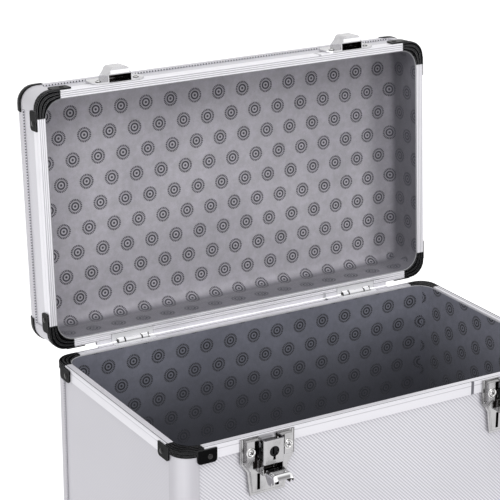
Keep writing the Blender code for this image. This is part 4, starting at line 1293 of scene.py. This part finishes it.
@dataclass
class Seams:
    """Thin dark joints where the panels disappear under the rails."""

    width: float = 0.0006
    lift: float = 0.0012
    thickness: float = 0.0009
    rail_leg: float = 0.0146
    mouth_flange: float = 0.010
    flange_gap: float = 0.0006
    post_edge: float = 0.0165
    side_pitch: float = 0.0023
    side_dark: Colour = (0.10, 0.10, 0.12, 1)
    post_pitch: float = 0.0014
    post_dark: Colour = (0.22, 0.22, 0.24, 1)

    def build(self) -> None:
        """Lays the seam along every rail edge that shows."""
        base = LAYOUT.floor_level + self.rail_leg
        for half, level in ((Half.LID, LAYOUT.lid_top - self.rail_leg), (Half.BODY, base)):
            for face in WALLS:
                reach = LAYOUT.half_length(face) - self.post_edge
                bm = bmesh.new()
                self.strip(bm, face, (-reach, reach), (level - self.width / 2, level + self.width / 2))
                line = SeamLine(half, 0)
                if face not in LONG_WALLS:
                    line = SeamLine(half, 1, self.side_pitch, self.side_dark)
                finish_piece(f"{half.word}_seam_{face.word}", bm, line, half)
        top = LAYOUT.mating_level - self.mouth_flange - self.flange_gap
        dots = SeamLine(Half.BODY, 2, self.post_pitch, self.post_dark)
        for face in (Face.LEFT, Face.RIGHT, Face.BACK):
            bm = bmesh.new()
            for sign in (-1, 1) if face is Face.BACK else (1,):
                at = sign * (LAYOUT.half_length(face) - self.post_edge - self.width / 2)
                self.strip(bm, face, (at - self.width / 2, at + self.width / 2), (base, top))
            finish_piece(f"body_post_seam_{face.word}", bm, dots, Half.BODY)

    def strip(self, bm: BMesh, face: Face, along: Pair, levels: Pair) -> None:
        """Adds one flat bar that lies in a wall.

        Args:
            bm: Where it is added.
            face: The wall.
            along: Where it begins and ends along the wall.
            levels: Its lower and upper level.
        """
        low = LAYOUT.wall_point(face, along[0], self.lift, levels[0])
        high = LAYOUT.wall_point(face, along[1], self.lift - self.thickness, levels[1])
        made = bmesh.ops.create_cube(bm, size=1.0)["verts"]
        bmesh.ops.scale(bm, vec=[abs(span) for span in high - low], verts=made)
        bmesh.ops.translate(bm, vec=(low + high) / 2, verts=made)


@dataclass(frozen=True)
class Lamp:
    """One soft lamp: a square, or a rectangle where it has a width of its own."""

    name: str
    place: Triple
    length: float
    power: float
    width: float = 0.0
    aim: Triple = (0, 0, 0.3)

    def hang(self) -> None:
        """Hangs the lamp and points it at its aim."""
        data = bpy.data.lights.new(self.name, "AREA")
        data.size = self.length
        if self.width:
            data.shape = "RECTANGLE"
            data.size_y = self.width
        data.energy = self.power
        lamp = in_scene(self.name, data)
        lamp.location = self.place
        lamp.rotation_euler = (Vector(self.aim) - Vector(self.place)).to_track_quat("-Z", "Y").to_euler()


@dataclass
class Studio:
    """Pale floor, soft lights and the photograph's camera."""

    eye: Triple = (-0.76743, -1.217812, 0.90021)
    ahead: Triple = (0.479978, 0.813388, -0.328667)
    across: Triple = (0.861663, -0.507476, 0.002449)
    above: Triple = (0.164799, 0.284375, 0.944443)
    sensor: float = 36.0
    focal_pixels: float = 1935.2
    frame_pixels: float = 500.0
    clip: Pair = (0.05, 50.0)
    floor_size: float = 14.0
    floor_colour: Colour = (0.84, 0.84, 0.85, 1)
    floor_rough: float = 0.9
    floor_glow: float = 0.62
    ambient: float = 0.62
    lamps: tuple[Lamp, ...] = (
        Lamp("overhead", (-0.35, -1.1, 2.3), 1.5, 18.0),
        Lamp("upright", (-1.75, -1.15, 0.6), 0.30, 3.0, 1.6),
        Lamp("strip", (-0.9, -1.1, 1.9), 1.4, 4.0, 0.07, (0, 0, 0.35)))

    def camera(self) -> None:
        """Places the camera that was fitted to the photograph."""
        data = bpy.data.cameras.new("camera")
        data.sensor_width = self.sensor
        data.lens = self.focal_pixels / self.frame_pixels * self.sensor
        data.clip_start, data.clip_end = self.clip
        camera = in_scene("camera", data)
        basis = Matrix((Vector(self.across), Vector(self.above), -Vector(self.ahead))).transposed().to_4x4()
        camera.matrix_world = Matrix.Translation(Vector(self.eye)) @ basis
        bpy.context.scene.camera = camera

    def floor(self) -> None:
        """Lays the pale floor, which glows towards the camera and in reflections and keeps shadows."""
        bm = bmesh.new()
        bmesh.ops.create_grid(bm, x_segments=1, y_segments=1, size=self.floor_size / 2)
        floor = as_object("floor", bm)
        graph = Graph("pale_floor")
        floor.data.materials.append(graph.dress(Base_Color=self.floor_colour, Roughness=self.floor_rough))
        plain = graph.shader.outputs[0]
        glow = graph.node("Emission", {"Color": WHITE, "Strength": self.floor_glow}).outputs[0]
        both = graph.node("AddShader", {0: plain, 1: glow}).outputs[0]
        mixed = graph.node("MixShader", {0: self.seen(graph), 1: plain, 2: both}).outputs[0]
        graph.feed(graph.tree.nodes["Material Output"].inputs["Surface"], mixed)

    def world(self) -> None:
        """Surrounds the case with white that lights it gently."""
        graph = Graph("studio", world=True)
        level = graph.node("MapRange", {"Value": self.seen(graph), "To Min": self.ambient, "To Max": 1.0})
        bpy.context.scene.world = graph.dress(Color=WHITE, Strength=level.outputs["Result"])

    def seen(self, graph: Graph) -> Socket:
        """Gives 1 for what the camera or a reflection sees, and 0 for light that falls on a piece."""
        path = graph.node("LightPath").outputs
        return graph.calc("MAXIMUM", path["Is Camera Ray"], path["Is Glossy Ray"])

    def build(self) -> None:
        """Sets up the whole studio."""
        self.camera()
        self.floor()
        self.world()
        for lamp in self.lamps:
            lamp.hang()
        bpy.context.scene.view_settings.view_transform = "Standard"


@dataclass
class RecordCase:
    """The whole case, its sub-assemblies built in order."""

    lid_cloth: RoundelCloth = RoundelCloth(
        "lid_lining_cloth", (0.550, 0.532, 0.575, 1), (0.455, 0.440, 0.480, 1), (0.050, 0.048, 0.060, 1),
        half=Half.LID, dim=(0.050, 0.051, 0.066, 1), dim_levels=(0.3470, 0.3540), dim_share=0.70,
        lip_levels=(0.31845, 0.31820), side_share=0.36)
    # Painted shade: the body's lining is a darker copy of the lid's cloth.
    body_cloth: RoundelCloth = RoundelCloth(
        "body_lining_cloth", (0.155, 0.160, 0.195, 1), (0.118, 0.122, 0.152, 1), (0.006, 0.006, 0.010, 1))

    def build(self) -> None:
        """Builds every sub-assembly."""
        Shell().build()
        BlackCorners().build()
        Lining(Half.BODY, self.body_cloth).build()
        Lining(Half.LID, self.lid_cloth).build()
        Seams().build()
        for hand in Hand:
            Latch(hand).build()
        Hinges().build()
        Handle().build()


def main() -> None:
    """Builds the studio and the case."""
    Studio().build()
    RecordCase().build()


if __name__ == "__main__":
    main()
